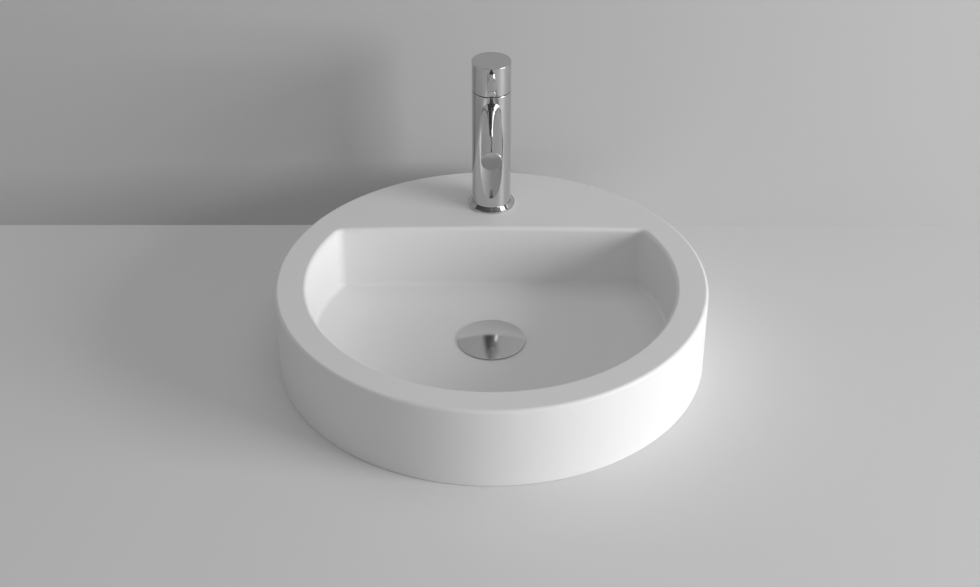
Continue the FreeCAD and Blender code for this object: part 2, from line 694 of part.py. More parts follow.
# Spout with its spigot, and the aerator in its underside
def make_spout():
    radius = size("spout_radius")
    reach = size("spout_reach")
    body = new_body("spout")
    solid(body, "AdditiveCylinder", "spout_tube", {"Radius": radius, "Height": reach},
          (ZERO, ZERO, spout_z), TO_FRONT)
    place(body, on_mixer)
    dress(body, "Chamfer", "spout_end_bevel", "Size", size("spout_bevel"),
          lambda edge, middle: end_edge(edge, -reach))
    drill(body, "body_seat", size("body_radius") + size("thread_clearance"), radius * 2 + MARGIN * 2,
          (ZERO, ZERO, spout_z - radius - MARGIN))
    spigot_end = size("body_radius") - size("spigot_depth") + size("loose_clearance")
    spigot = {"Radius": size("spigot_radius") - size("thread_clearance"), "Height": radius}
    solid(body, "AdditiveCylinder", "spigot", spigot, (ZERO, -spigot_end, spout_z), TO_FRONT)
    bore = reach - spigot_end - size("spout_end_wall")
    drill(body, "spout_bore", size("spout_bore_radius"), bore, (ZERO, -spigot_end, spout_z), TO_FRONT)
    seal_at = (ZERO, -(spigot_end + size("spout_seal_inset")), spout_z)
    groove = size("spout_seal_section") + size("thread_clearance")
    seal_sizes = {"Radius1": size("spout_seal_radius"), "Radius2": groove}
    solid(body, "SubtractiveTorus", "spout_seal_groove", seal_sizes, seal_at, TO_FRONT)
    seal = new_body("spout_seal")
    seal_sizes = {"Radius1": size("spout_seal_radius"), "Radius2": size("spout_seal_section")}
    solid(seal, "AdditiveTorus", "spout_seal_ring", seal_sizes, seal_at, TO_FRONT)
    place(seal, on_mixer)

    outlet = size("aerator_setback") - reach
    outlet_y = mixer_y + outlet
    under = spout_z - radius
    housing_low = under + size("aerator_recess")
    housing_top = housing_low + size("aerator_height")
    seat = housing_top + size("aerator_seal_thickness")
    drill(body, "aerator_bore", size("aerator_bore_radius"), seat - under + MARGIN,
          (ZERO, outlet, under - MARGIN))
    drill(body, "aerator_throat", size("aerator_throat_radius"), spout_z - seat, (ZERO, outlet, seat))

    at_outlet = (ZERO, outlet_y, ZERO)
    outer = size("aerator_bore_radius") - size("thread_clearance")
    inner = outer - size("aerator_wall")
    ring("aerator_housing", inner, outer, housing_low, housing_top, at_outlet)
    ring("aerator_seal", size("aerator_throat_radius"), outer, housing_top, seat, at_outlet)
    insert = new_body("aerator_insert")
    disc = {"Radius": inner - size("thread_clearance"), "Height": size("aerator_insert_height")}
    solid(insert, "AdditiveCylinder", "insert_disc", disc, (ZERO, ZERO, ZERO))
    hole = drill(insert, "insert_hole", size("aerator_hole_radius"), size("aerator_insert_height"),
                 (size("aerator_hole_ring"), ZERO, ZERO))
    pattern = insert.newObject("PartDesign::PolarPattern", "insert_holes")
    pattern.Originals = [hole]
    pattern.Axis = (origin_feature(insert, "Z_Axis"), [""])
    pattern.Angle = 360
    bind(pattern, "Occurrences", size("aerator_holes"))
    insert.Tip = pattern
    insert_low = housing_top - size("aerator_insert_height")
    place(insert, (ZERO, outlet_y, insert_low))


# Fixing under the deck
def make_fixing():
    under = deck - size("deck_thickness")
    steel_top = under - size("rubber_shoe_thickness")
    nut_top = steel_top - size("steel_shoe_thickness")
    stud_low = under - size("stud_below")
    stud_y = mixer_y + size("stud_back")
    stud = new_body("fixing_stud")
    length = body_under + size("stud_in_body") - stud_low
    solid(stud, "AdditiveCylinder", "stud_rod", {"Radius": size("stud_radius"), "Height": length},
          (ZERO, ZERO, ZERO))
    place(stud, (ZERO, stud_y, stud_low))
    horseshoe("rubber_horseshoe", size("rubber_shoe_thickness"), steel_top)
    horseshoe("steel_horseshoe", size("steel_shoe_thickness"), nut_top)
    hex_nut("fixing_nut", size("fixing_nut_flats"), size("stud_radius") + size("thread_clearance"),
            size("fixing_nut_height"), (ZERO, stud_y, nut_top - size("fixing_nut_height")))


def horseshoe(label, thickness, level):
    """A round plate with a wide slot to the front for the hoses and a hole for the stud."""
    body = new_body(label)
    radius = size("shoe_radius")
    solid(body, "AdditiveCylinder", f"{label}_plate", {"Radius": radius, "Height": thickness},
          (ZERO, ZERO, ZERO))
    half = size("shoe_slot_half")
    slot = {"Length": half * 2, "Width": radius + size("shoe_slot_back"), "Height": thickness}
    solid(body, "SubtractiveBox", f"{label}_slot", slot, (-half, -radius, ZERO))
    drill(body, f"{label}_hole", size("stud_radius") + size("loose_clearance"), thickness,
          (ZERO, size("stud_back"), ZERO))
    place(body, (ZERO, mixer_y, level))


# Cartridge: what stays still
def make_cartridge():
    radius = size("cartridge_radius")
    section = size("port_seal_section")
    base = turned("cartridge_base", [
        (ZERO, chamber_floor),
        (radius, chamber_floor),
        (radius, fixed_disc_low),
        (ZERO, fixed_disc_low),
    ], on_mixer)
    disc_radius = size("fixed_disc_radius")
    disc_top = fixed_disc_low + size("disc_thickness")
    disc = turned("fixed_disc", [
        (ZERO, fixed_disc_low),
        (disc_radius, fixed_disc_low),
        (disc_radius, disc_top),
        (ZERO, disc_top),
    ], on_mixer)
    groove = section + size("thread_clearance")
    seal_z = chamber_floor + groove
    port_depth = size("base_height") * 0.5 + size("port_lap")
    rings = []
    for name, (across, back, port_radius) in disc_ports.items():
        drill(disc, f"disc_{name}", port_radius, size("disc_thickness"), (across, back, fixed_disc_low))
        drill(base, f"upper_{name}", port_radius, port_depth, (across, back, fixed_disc_low - port_depth))
    for name, (across, back, port_radius) in body_ports.items():
        drill(base, f"lower_{name}", port_radius, port_depth, (across, back, chamber_floor))
        middle = port_radius + groove
        drill(base, f"{name}_seat", middle + groove, groove * 2, (across, back, chamber_floor))
        seal = doc.addObject("Part::Torus", f"{name}_seal")
        bind(seal, "Radius1", middle)
        bind(seal, "Radius2", section)
        place(seal, (across, mixer_y + back, seal_z))
        rings.append(seal)
    seals = doc.addObject("Part::Compound", "port_seals")
    seals.Label = "port_seals"
    seals.Links = rings
    NODES.append(seals)

    skirt_bore = radius - size("housing_wall")
    collar_bore = size("collar_radius") + size("running_clearance")
    flange_bore = size("collar_flange_radius") + size("loose_clearance")
    flange_floor = collar_low - size("loose_clearance")
    neck = size("housing_neck_radius")
    top = pivot_z + size("housing_above_pivot")
    step = collar_step + size("loose_clearance")
    turned("cartridge_housing", [
        (skirt_bore, fixed_disc_low),
        (radius, fixed_disc_low),
        (radius, nut_low),
        (neck, nut_low),
        (neck, top),
        (collar_bore, top),
        (collar_bore, step),
        (flange_bore, step),
        (flange_bore, flange_floor),
        (neck - size("housing_wall"), flange_floor),
        (skirt_bore, nut_low - size("housing_wall") * 2),
    ], on_mixer)

    inside = neck + size("loose_clearance")
    nut_top = body_top + size("nut_collar_height")
    nut = turned("cartridge_nut", [
        (inside, nut_low),
        (size("nut_thread_radius") - size("thread_clearance"), nut_low),
        (size("nut_thread_radius") - size("thread_clearance"), body_top),
        (size("nut_collar_radius"), body_top),
        (size("nut_collar_radius"), nut_top),
        (inside, nut_top),
    ], on_mixer)
    wide = size("nut_collar_radius") + MARGIN
    deep = size("nut_slot_depth")
    slot = {"Length": wide * 2, "Width": size("nut_slot_width"), "Height": deep + MARGIN}
    slot_at = (-wide, -size("nut_slot_width") * 0.5, nut_top - deep)
    solid(nut, "SubtractiveBox", "wrench_slot", slot, slot_at)


# Cartridge: what turns and slides
def make_cartridge_movers():
    disc_radius = size("moving_disc_radius")
    disc = turned("moving_disc", [
        (ZERO, moving_disc_low),
        (disc_radius, moving_disc_low),
        (disc_radius, carrier_low),
        (ZERO, carrier_low),
    ], on_mixer)
    deep = size("mix_pocket_depth")
    drill(disc, "mix_pocket", size("mix_pocket_radius"), deep, (ZERO, ZERO, moving_disc_low))
    half = size("port_outlet_radius")
    slot = {"Length": half * 2, "Width": size("mix_pocket_back"), "Height": deep}
    solid(disc, "SubtractiveBox", "mix_slot", slot, (-half, ZERO, moving_disc_low))
    carrier_radius = size("carrier_radius")
    carrier_top = carrier_low + size("carrier_height")
    carrier = turned("disc_carrier", [
        (ZERO, carrier_low),
        (carrier_radius, carrier_low),
        (carrier_radius, carrier_top),
        (ZERO, carrier_top),
    ], on_mixer)
    socket = size("ball_radius") + size("running_clearance") * 2
    drill(carrier, "ball_socket", socket, size("carrier_height"), (ZERO, ZERO, carrier_low))

    collar_top = pivot_z + size("collar_above_pivot")
    collar = turned("turning_collar", [
        (ZERO, collar_low),
        (size("collar_flange_radius"), collar_low),
        (size("collar_flange_radius"), collar_step),
        (size("collar_radius"), collar_step),
        (size("collar_radius"), collar_top),
        (ZERO, collar_top),
    ], on_mixer)
    half = size("stem_width") * 0.5 + size("loose_clearance")
    swing = size("collar_above_pivot") * trig("tan", size("lift_angle"))
    swing_half = half + swing + size("loose_clearance")
    slot = {"Length": half * 2, "Width": swing_half * 2, "Height": collar_top - collar_low}
    solid(collar, "SubtractiveBox", "stem_slot", slot, (-half, -swing_half, collar_low))
    pin_half = size("collar_radius") - size("loose_clearance") * 2
    pin_at = (-pin_half, ZERO, pivot_z)
    pin_hole = size("pivot_radius") + size("thread_clearance")
    drill(collar, "pin_hole", pin_hole, pin_half * 2, pin_at, TO_RIGHT)
    pin = new_body("pivot_pin")
    rod = {"Radius": size("pivot_radius"), "Height": pin_half * 2}
    solid(pin, "AdditiveCylinder", "pin_rod", rod, pin_at, TO_RIGHT)
    place(pin, on_mixer)


# Handle: stem, cap, pin lever and what locks them together
def make_handle():
    width = size("stem_width")
    half = width * 0.5
    stem = new_body("handle_stem")
    bar = {"Length": width, "Width": width, "Height": size("stem_length") + size("stem_below")}
    solid(stem, "AdditiveBox", "stem_bar", bar, (-half, -half, pivot_z - size("stem_below")))
    ball_at = (ZERO, ZERO, pivot_z - size("stem_arm"))
    neck = {"Radius": size("stem_neck_radius"), "Height": size("stem_arm")}
    solid(stem, "AdditiveCylinder", "stem_neck", neck, ball_at)
    solid(stem, "AdditiveSphere", "stem_ball", {"Radius": size("ball_radius")}, ball_at)
    pivot_hole = size("pivot_radius") + size("running_clearance")
    drill(stem, "stem_pivot", pivot_hole, width, (-half, ZERO, pivot_z), TO_RIGHT)
    place(stem, on_mixer)

    radius = size("body_radius")
    bevel = size("edge_break")
    roof = cap_low + size("cap_cavity_height")
    cap = turned("handle_cap", [
        (size("cap_cavity_radius"), cap_low),
        (radius, cap_low),
        (radius, cap_top - bevel),
        (radius - bevel, cap_top),
        (ZERO, cap_top),
        (ZERO, roof),
        (size("cap_cavity_radius"), roof),
    ], on_mixer)
    snug = half + size("thread_clearance")
    socket_height = pivot_z + size("stem_length") + size("loose_clearance") - roof
    socket = {"Length": snug * 2, "Width": snug * 2, "Height": socket_height}
    solid(cap, "SubtractiveBox", "stem_socket", socket, (-snug, -snug, roof))

    pressed = size("thread_clearance")
    seat_at = (ZERO, size("lever_seat") - radius, lever_z)
    spigot_at = (ZERO, size("lever_seat") - radius + size("lever_spigot_length"), lever_z)
    spigot = {"Radius": size("lever_spigot_radius"), "Height": size("lever_spigot_length")}
    drill(cap, "lever_seat_hole", size("lever_radius") + pressed, size("lever_seat"), seat_at, TO_FRONT)
    drill(cap, "lever_thread", spigot["Radius"] + pressed, spigot["Height"], spigot_at, TO_FRONT)
    drill(cap, "grub_hole", size("grub_radius") + pressed, radius, (ZERO, ZERO, lever_z), TO_REAR)

    # the cap's lower rear slopes up from the pivot, so that the cap can tip back onto the body
    lift = size("lift_angle")
    wide = radius + MARGIN
    wedge = {"Length": wide * 2, "Width": wide * 2, "Height": radius}
    wedge_at = (-wide, radius * trig("sin", lift), pivot_z - radius * trig("cos", lift))
    relief = solid(cap, "SubtractiveBox", "lift_relief", wedge, wedge_at, TIPPED_BACK)
    bind(relief, "Placement.Rotation.Angle", lift)

    lever = new_body("pin_lever")
    rod = {"Radius": size("lever_radius"), "Height": size("lever_length") + size("lever_seat")}
    solid(lever, "AdditiveCylinder", "lever_rod", rod, seat_at, TO_FRONT)
    dress(lever, "Chamfer", "lever_bevel", "Size", bevel,
          lambda edge, middle: end_edge(edge, seat_at[1] - rod["Height"]))
    solid(lever, "AdditiveCylinder", "lever_spigot", spigot, spigot_at, TO_FRONT)
    place(lever, on_mixer)

    grub = new_body("grub_screw")
    screw = {"Radius": size("grub_radius"), "Height": size("grub_length")}
    solid(grub, "AdditiveCylinder", "grub_rod", screw, (ZERO, half, lever_z), TO_REAR)
    key = grub.newObject("PartDesign::SubtractivePrism", "grub_key")
    key.Polygon = 6
    bind(key, "Circumradius", size("grub_key_radius"))
    bind(key, "Height", size("grub_key_depth"))
    place(key, (ZERO, half + size("grub_length") - size("grub_key_depth"), lever_z), TO_REAR)
    place(grub, on_mixer)
    cover = new_body("grub_cover")
    button = {"Radius": size("grub_radius"), "Height": size("grub_cover_length")}
    button_at = (ZERO, radius - bevel - size("grub_cover_length"), lever_z)
    solid(cover, "AdditiveCylinder", "cover_button", button, button_at, TO_REAR)
    place(cover, on_mixer)


make_basin()
make_waste()
make_mixer_body()
make_spout()
make_fixing()
make_cartridge()
make_cartridge_movers()
make_handle()
doc.recompute()

# Nothing is written unless every object of the document is sound
for item in doc.Objects:
    if "Invalid" in item.State or "Error" in item.State:
        raise RuntimeError(f"{item.Label} did not recompute: {item.State}")
for node in NODES:
    if node.Shape.isNull() or not node.Shape.isValid():
        raise RuntimeError(f"{node.Label} has no valid shape")

os.makedirs("parts", exist_ok=True)
for node in NODES:
    node.Shape.exportStep(f"parts/{node.Label}.step")
    print(f"{node.Label}: {len(node.Shape.Solids)} solid, {node.Shape.Volume:.1f} mm3")
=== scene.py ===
"""Finishes and studio for a countertop basin with its mixer and waste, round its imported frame."""

import json
import math

import bmesh
import bpy
from bpy.props import FloatProperty, FloatVectorProperty, PointerProperty
from mathutils import Matrix, Vector


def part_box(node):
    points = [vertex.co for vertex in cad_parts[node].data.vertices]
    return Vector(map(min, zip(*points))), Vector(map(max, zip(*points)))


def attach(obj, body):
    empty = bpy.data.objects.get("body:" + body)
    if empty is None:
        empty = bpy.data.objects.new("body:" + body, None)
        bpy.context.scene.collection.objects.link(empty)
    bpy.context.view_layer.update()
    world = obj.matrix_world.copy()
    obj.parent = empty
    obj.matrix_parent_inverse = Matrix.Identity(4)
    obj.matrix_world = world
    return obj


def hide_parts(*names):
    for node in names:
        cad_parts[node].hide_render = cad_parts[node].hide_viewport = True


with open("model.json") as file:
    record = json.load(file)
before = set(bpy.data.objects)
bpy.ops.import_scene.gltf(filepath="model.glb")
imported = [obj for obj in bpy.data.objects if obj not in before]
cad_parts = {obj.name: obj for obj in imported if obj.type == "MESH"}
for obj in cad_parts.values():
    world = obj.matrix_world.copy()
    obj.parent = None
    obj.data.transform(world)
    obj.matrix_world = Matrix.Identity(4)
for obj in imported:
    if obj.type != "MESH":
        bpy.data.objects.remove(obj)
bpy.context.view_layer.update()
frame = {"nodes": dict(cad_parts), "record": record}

bl_info = {
    "name": "Countertop basin",
    "version": (1, 0, 0),
    "blender": (4, 5, 0),
    "location": "View3D > Sidebar > Basin",
    "description": "Dresses a round countertop basin, its pillar mixer and its domed waste",
    "category": "Object",
}

SEGMENTS = 192            # round a chromed piece
SMALL_SEGMENTS = 96       # round a small or hidden piece
ROUND_STEPS = 8           # along a rounded edge
GUARD = 0.00008           # a ring this close to a rounded edge keeps the flat beside it flat
CREASE = math.radians(32)
TAU = math.tau
FORWARD = Matrix.Rotation(TAU / 4, 4, "X")     # +Z to -Y
REARWARD = Matrix.Rotation(-TAU / 4, 4, "X")   # +Z to +Y
HERE = Matrix()           # a place that moves nothing

RECORD = frame["record"]
BODY_OF = {node: body for body, nodes in RECORD["behaviour"]["bodies"].items() for node in nodes}
SLOT_OF = {row["node"]: row["material_slot"] for row in RECORD["subparts"]}
FINISH_OF = {
    "basin_white": "matte_white",
    "chrome": "polished_chrome",
    "rubber": "black_rubber",
    "grey_plastic": "grey_moulding",
    "pale_plastic": "pale_moulding",
    "cover_plastic": "plated_button",
    "steel": "bright_steel",
    "brass": "machined_brass",
    "disc_ceramic": "lapped_ceramic",
}


# Sizes and colours that a user would change

def length(name, description, default):
    return FloatProperty(name=name, description=description, default=default, min=0.0,
                         precision=4, unit="LENGTH")


def colour(name, description, default):
    return FloatVectorProperty(name=name, description=description, default=default, size=3,
                               min=0.0, max=1.0, subtype="COLOR")


def factor(name, description, default):
    return FloatProperty(name=name, description=description, default=default, min=0.0, max=1.0,
                         subtype="FACTOR")


def power(name, description, default):
    return FloatProperty(name=name, description=description, default=default, min=0.0, unit="POWER")


class BasinSizes(bpy.types.PropertyGroup):
    """Lengths of the cast basin."""

    bowl_radius: length("Bowl radius", "Round part of the bowl's wall", 0.1831)
    deck_line: length("Deck line", "Deck's front edge behind the basin's centre", 0.096)
    deck_bow: length("Deck bow", "Radius of the deck's faintly bowed front edge", 3.2)
    corner_radius: length("Corner radius", "Upright corners of the bowl", 0.011)
    floor_height: length("Floor height", "Middle of the bowl's floor", 0.0155)
    floor_fall: length("Floor fall", "Rise of the floor from its middle to the wall", 0.0018)
    floor_round: length("Floor round", "Round between floor and wall", 0.005)
    rim_inner_round: length("Rim, inner round", "Inner edge of the rim", 0.004)
    rim_outer_round: length("Rim, outer round", "Outer edge of the rim", 0.0035)
    foot_round: length("Foot round", "Bottom edge", 0.0016)
    foot_width: length("Foot width", "Foot ring and the wall round the rear hollow", 0.010)
    foot_height: length("Foot height", "Foot ring below the underside", 0.002)
    bowl_wall: length("Bowl wall", "Wall between the bowl and the rear hollow", 0.010)
    deck_thickness: length("Deck thickness", "Deck under the mixer", 0.014)
    tap_hole: length("Tap hole", "Radius of the hole in the deck", 0.0175)
    drain: length("Drain", "Radius of the hole in the floor", 0.023)
    recess: length("Recess", "Radius of the seat of the waste's flange", 0.033)


class MixerSizes(bpy.types.PropertyGroup):
    """Lengths of the mixer that its boxes do not give."""

    edge_round: length("Edge round", "Turned and polished edges", 0.0005)
    nut_thread: length("Nut thread", "Radius of the thread above the chamber", 0.016)
    nut_thread_depth: length("Nut thread depth", "Thread above the chamber", 0.0066)
    chamber: length("Chamber", "Radius of the cartridge chamber", 0.0127)
    spigot: length("Spigot", "Radius of the spout's end inside the body", 0.00795)
    spout_bore: length("Spout bore", "Radius of the waterway in the spout", 0.0055)
    spout_end_wall: length("Spout end wall", "Closed end of the spout", 0.007)
    spout_lean: length("Spout lean", "Lower edge of the spout's end behind its upper edge", 0.0002)
    throat: length("Throat", "Radius of the waterway above the aerator", 0.0046)
    fit: length("Fit", "Play round a seated piece", 0.00005)
    flange_rim: length("Flange rim", "Height of the base flange's upright rim", 0.0022)
    flange_shoulder: length("Flange shoulder", "Radius at the foot of its slope", 0.0236)
    flange_hole: length("Flange hole", "Radius of the opening under the body", 0.015)
    flange_floor: length("Flange floor", "Flange under the body", 0.001)
    cap_cavity: length("Cap cavity", "Radius of the hollow in the handle cap", 0.017)
    cap_cavity_height: length("Cap cavity height", "Hollow in the handle cap", 0.0114)
    lever_seat: length("Lever seat", "Depth of the lever's seat in the cap", 0.0009)
    lever_spigot: length("Lever spigot", "Radius of the lever's threaded end", 0.00295)


class WasteSizes(bpy.types.PropertyGroup):
    """Lengths of the waste that its boxes do not give."""

    bore: length("Bore", "Radius inside the waste tube", 0.0185)
    thread: length("Thread", "Radius over the thread", 0.02095)
    thread_depth: length("Thread depth", "Crest over the root", 0.00085)
    thread_pitch: length("Thread pitch", "Rise of one turn", 0.00231)
    flange_thickness: length("Flange thickness", "Flange on the recess", 0.002)
    relief_top: length("Relief top", "Plain neck below the nut, down from the counter", 0.0165)
    relief_width: length("Relief width", "Height of the plain neck", 0.003)
    spider_drop: length("Spider drop", "Cross arms below the flange's top", 0.023)
    spider_height: length("Spider height", "Cross arms in the tube", 0.008)
    spider_hub: length("Spider hub", "Radius of the hub", 0.009)
    spider_arm: length("Spider arm", "Width of a cross arm", 0.003)
    cap_edge: length("Cap edge", "Height of the cap's edge", 0.0006)
    wire: length("Spring wire", "Radius of the spring's wire", 0.00042)
    stud_pitch: length("Stud pitch", "Thread of the fixing stud", 0.00125)
    stud_depth: length("Stud thread depth", "Thread of the fixing stud", 0.0006)


class FinishColours(bpy.types.PropertyGroup):
    """Colours of the finishes."""

    white: colour("White", "Matte white of the basin", (0.845, 0.845, 0.845))
    chrome: colour("Chrome", "Polished chrome", (0.63, 0.63, 0.632))
    satin: colour("Satin chrome", "Satin chrome of the waste cap", (0.66, 0.66, 0.662))
    rubber: colour("Rubber", "Black rubber", (0.035, 0.035, 0.035))
    grey: colour("Grey plastic", "Moulded inner parts", (0.27, 0.275, 0.285))
    pale: colour("Pale plastic", "Aerator grid", (0.64, 0.65, 0.66))
    steel: colour("Steel", "Bright steel", (0.56, 0.56, 0.57))
    brass: colour("Brass", "Machined brass", (0.72, 0.50, 0.20))
    ceramic: colour("Ceramic", "Lapped discs", (0.80, 0.80, 0.76))
    floor: colour("Floor", "Floor of the studio", (0.80, 0.80, 0.80))
    backdrop: colour("Backdrop", "Wall of the studio", (0.58, 0.58, 0.58))
    ceiling: colour("Ceiling", "Dim ceiling that only the chrome shows", (0.2, 0.2, 0.2))


class StudioSettings(bpy.types.PropertyGroup):
    """Light and camera."""

    key: power("Key", "Large soft light on the right", 92.0)
    top: power("Top", "Wide soft light from above", 10.6)
    accent: power("Accent", "Small light that the flange and the waste cap show", 0.85)
    streak: power("Streak", "Narrow light that the spout's top shows", 2.4)
    ambient: factor("Ambient", "Even light from all round", 0.258)
    surround: factor("Surround", "Brightness of what lies beyond the stage", 0.62)
    wall_line: length("Backdrop line", "Backdrop behind the basin's centre", 0.243)
    lens: FloatProperty(name="Lens", description="Focal length in millimetres", default=61.0, min=1.0,
                        unit="CAMERA")


GROUPS = {
    "basin_sizes": BasinSizes,
    "mixer_sizes": MixerSizes,
    "waste_sizes": WasteSizes,
    "finish_colours": FinishColours,
    "studio": StudioSettings,
}


# Meshes

def skin(rings, joined=False):
    """A closed mesh through rings of points. A ring of one point is a pole."""
    points = [point for ring in rings for point in ring]
    starts = []
    total = 0
    for ring in rings:
        starts.append((total, len(ring)))
        total += len(ring)
    steps = list(zip(starts, starts[1:]))
    if joined:
        steps.append((starts[-1], starts[0]))
    faces = []
    for (low, low_count), (high, high_count) in steps:
        count = max(low_count, high_count)
        for here in range(count):
            after = (here + 1) % count
            if low_count == 1:
                faces.append((low, high + after, high + here))
            elif high_count == 1:
                faces.append((low + here, low + after, high))
            else:
                faces.append((low + here, low + after, high + after, high + here))
    mesh = bpy.data.meshes.new("piece")
    mesh.from_pydata(points, [], faces)
    return tidy(mesh)


def tidy(mesh, gap=1e-7, fill=False, outward=True):
    """Merges doubles, fills the slits that a cut can leave, and turns every face outwards."""
    work = bmesh.new()
    work.from_mesh(mesh)
    bmesh.ops.remove_doubles(work, verts=work.verts, dist=gap)
    if fill:
        bmesh.ops.delete(work, geom=[edge for edge in work.edges if edge.is_wire], context="EDGES")
        bmesh.ops.holes_fill(work, edges=[edge for edge in work.edges if edge.is_boundary])
    if outward:
        bmesh.ops.recalc_face_normals(work, faces=work.faces)
    work.to_mesh(mesh)
    work.free()
    return mesh


def outline(corners, closed=False):
    """Points of a turned section. A corner is (radius, height) or (radius, height, round)."""
    points = []
    count = len(corners)
    for index, corner in enumerate(corners):
        here = Vector(corner[:2])
        rounding = corner[2] if len(corner) == 3 else 0.0
        if not rounding or (not closed and index in (0, count - 1)):
            points.append(here)
            continue
        before = (Vector(corners[index - 1][:2]) - here).normalized()
        after = (Vector(corners[(index + 1) % count][:2]) - here).normalized()
        half = before.angle(after) / 2
        reach = rounding / math.tan(half)
        centre = here + (before + after).normalized() * (rounding / math.sin(half))
        first = here + before * reach - centre
        last = here + after * reach - centre
        turn = math.atan2(first.cross(last), first.dot(last))
        points.append(here + before * (reach + GUARD))
        for step in range(ROUND_STEPS + 1):
            points.append(centre + Matrix.Rotation(turn * step / ROUND_STEPS, 2) @ first)
        points.append(here + after * (reach + GUARD))
    return points


def ring_of(radius, height, count):
    if radius < 1e-9:
        return [(0.0, 0.0, height)]
    return [(radius * math.cos(TAU * step / count), radius * math.sin(TAU * step / count), height)
            for step in range(count)]


def turned(corners, place=HERE, closed=False, count=SEGMENTS):
    """A turned mesh about the Z axis, then put in its place."""
    mesh = skin([ring_of(*point, count) for point in outline(corners, closed)], closed)
    mesh.transform(place)
    return mesh


def rod(radius, low, high, place=HERE, count=SMALL_SEGMENTS):
    """A plain cylinder for cutting."""
    return turned([(0, low), (radius, low), (radius, high), (0, high)], place, count=count)


def level(points, height):
    return [(x, y, height) for x, y in points]


def prism(points, inside, low, high):
    """An upright solid on an outline. Its ends fan out from a point inside."""
    return skin([[(*inside, low)], level(points, low), level(points, high), [(*inside, high)]])


def block(low, high, place=HERE):
    """A plain box for cutting and for arms."""
    (left, front, under), (right, back, top) = low, high
    corners = [(left, front), (right, front), (right, back), (left, back)]
    mesh = prism(corners, ((left + right) / 2, (front + back) / 2), under, top)
    mesh.transform(place)
    return mesh


def linked(name, data):
    """A new object in the scene."""
    item = bpy.data.objects.new(name, data)
    bpy.context.scene.collection.objects.link(item)
    return item


def baked(main, *tools):
    """The mesh that an object's modifiers make. The object and its tools are removed."""
    result = bpy.data.meshes.new_from_object(main.evaluated_get(bpy.context.evaluated_depsgraph_get()))
    for item in (main, *tools):
        used = item.data
        bpy.data.objects.remove(item)
        bpy.data.meshes.remove(used)
    if not result.polygons:
        raise RuntimeError("a piece came out without faces")
    return result


def carve(mesh, *cutters, operation="DIFFERENCE"):
    """Takes cutters out of a mesh, or keeps what it shares with them."""
    main = linked("blank", mesh)
    tools = [linked("cutter", cutter) for cutter in cutters]
    for tool in tools:
        cut = main.modifiers.new("cut", "BOOLEAN")
        cut.solver = "EXACT"
        cut.operation = operation
        cut.object = tool
    return tidy(baked(main, *tools), fill=True)


def merged(*meshes):
    """One mesh from several closed ones."""
    work = bmesh.new()
    for mesh in meshes:
        work.from_mesh(mesh)
        bpy.data.meshes.remove(mesh)
    result = bpy.data.meshes.new("piece")
    work.to_mesh(result)
    work.free()
    return result


def finish_of(node):
    return bpy.data.materials[FINISH_OF[SLOT_OF[node]]]


def deliver(name, mesh, node, finish=None):
    """Puts a finished mesh into the scene, smooth with sharp edges, in the place of a CAD node."""
    mesh.name = name
    mesh.polygons.foreach_set("use_smooth", [True] * len(mesh.polygons))
    mesh.set_sharp_from_angle(angle=CREASE)
    mesh.materials.clear()
    mesh.materials.append(bpy.data.materials[finish] if finish else finish_of(node))
    piece = linked(name, mesh)
    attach(piece, BODY_OF[node])
    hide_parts(node)


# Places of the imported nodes

def low_of(node):
    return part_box(node)[0]


def high_of(node):
    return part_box(node)[1]


def span(node, axis=2):
    """A node's lowest and highest place along an axis."""
    return low_of(node)[axis], high_of(node)[axis]


def middle(node):
    return (Vector(low_of(node)) + Vector(high_of(node))) / 2


def reach_of(node):
    """Half of a node's width."""
    return (high_of(node)[0] - low_of(node)[0]) / 2


def at(node):
    """Place of a turned piece on a node's upright axis."""
    centre = middle(node)
    return Matrix.Translation((centre.x, centre.y, 0))


def facing(y, z, turn=FORWARD):
    """Place of a turned piece that points forward or back in the middle plane."""
    return Matrix.Translation((0, y, z)) @ turn


def joint(name):
    """The record's row of a joint."""
    return next(row for row in RECORD["behaviour"]["joints"] if row["name"] == name)


# Basin

def arc(centre, radius, start, end, steps):
    """Points along an arc, without its end."""
    angles = [start + (end - start) * step / steps for step in range(steps)]
    return [(centre[0] + radius * math.cos(angle), centre[1] + radius * math.sin(angle)) for angle in angles]


def crossing(radius, bow, bow_y):
    """Where a circle round the basin's axis meets a bow, and the angles of that point on both."""
    y = (radius ** 2 - bow ** 2 + bow_y ** 2) / (2 * bow_y)
    x = math.sqrt(radius ** 2 - y ** 2)
    return x, y, math.atan2(y, x), math.atan2(y - bow_y, x)


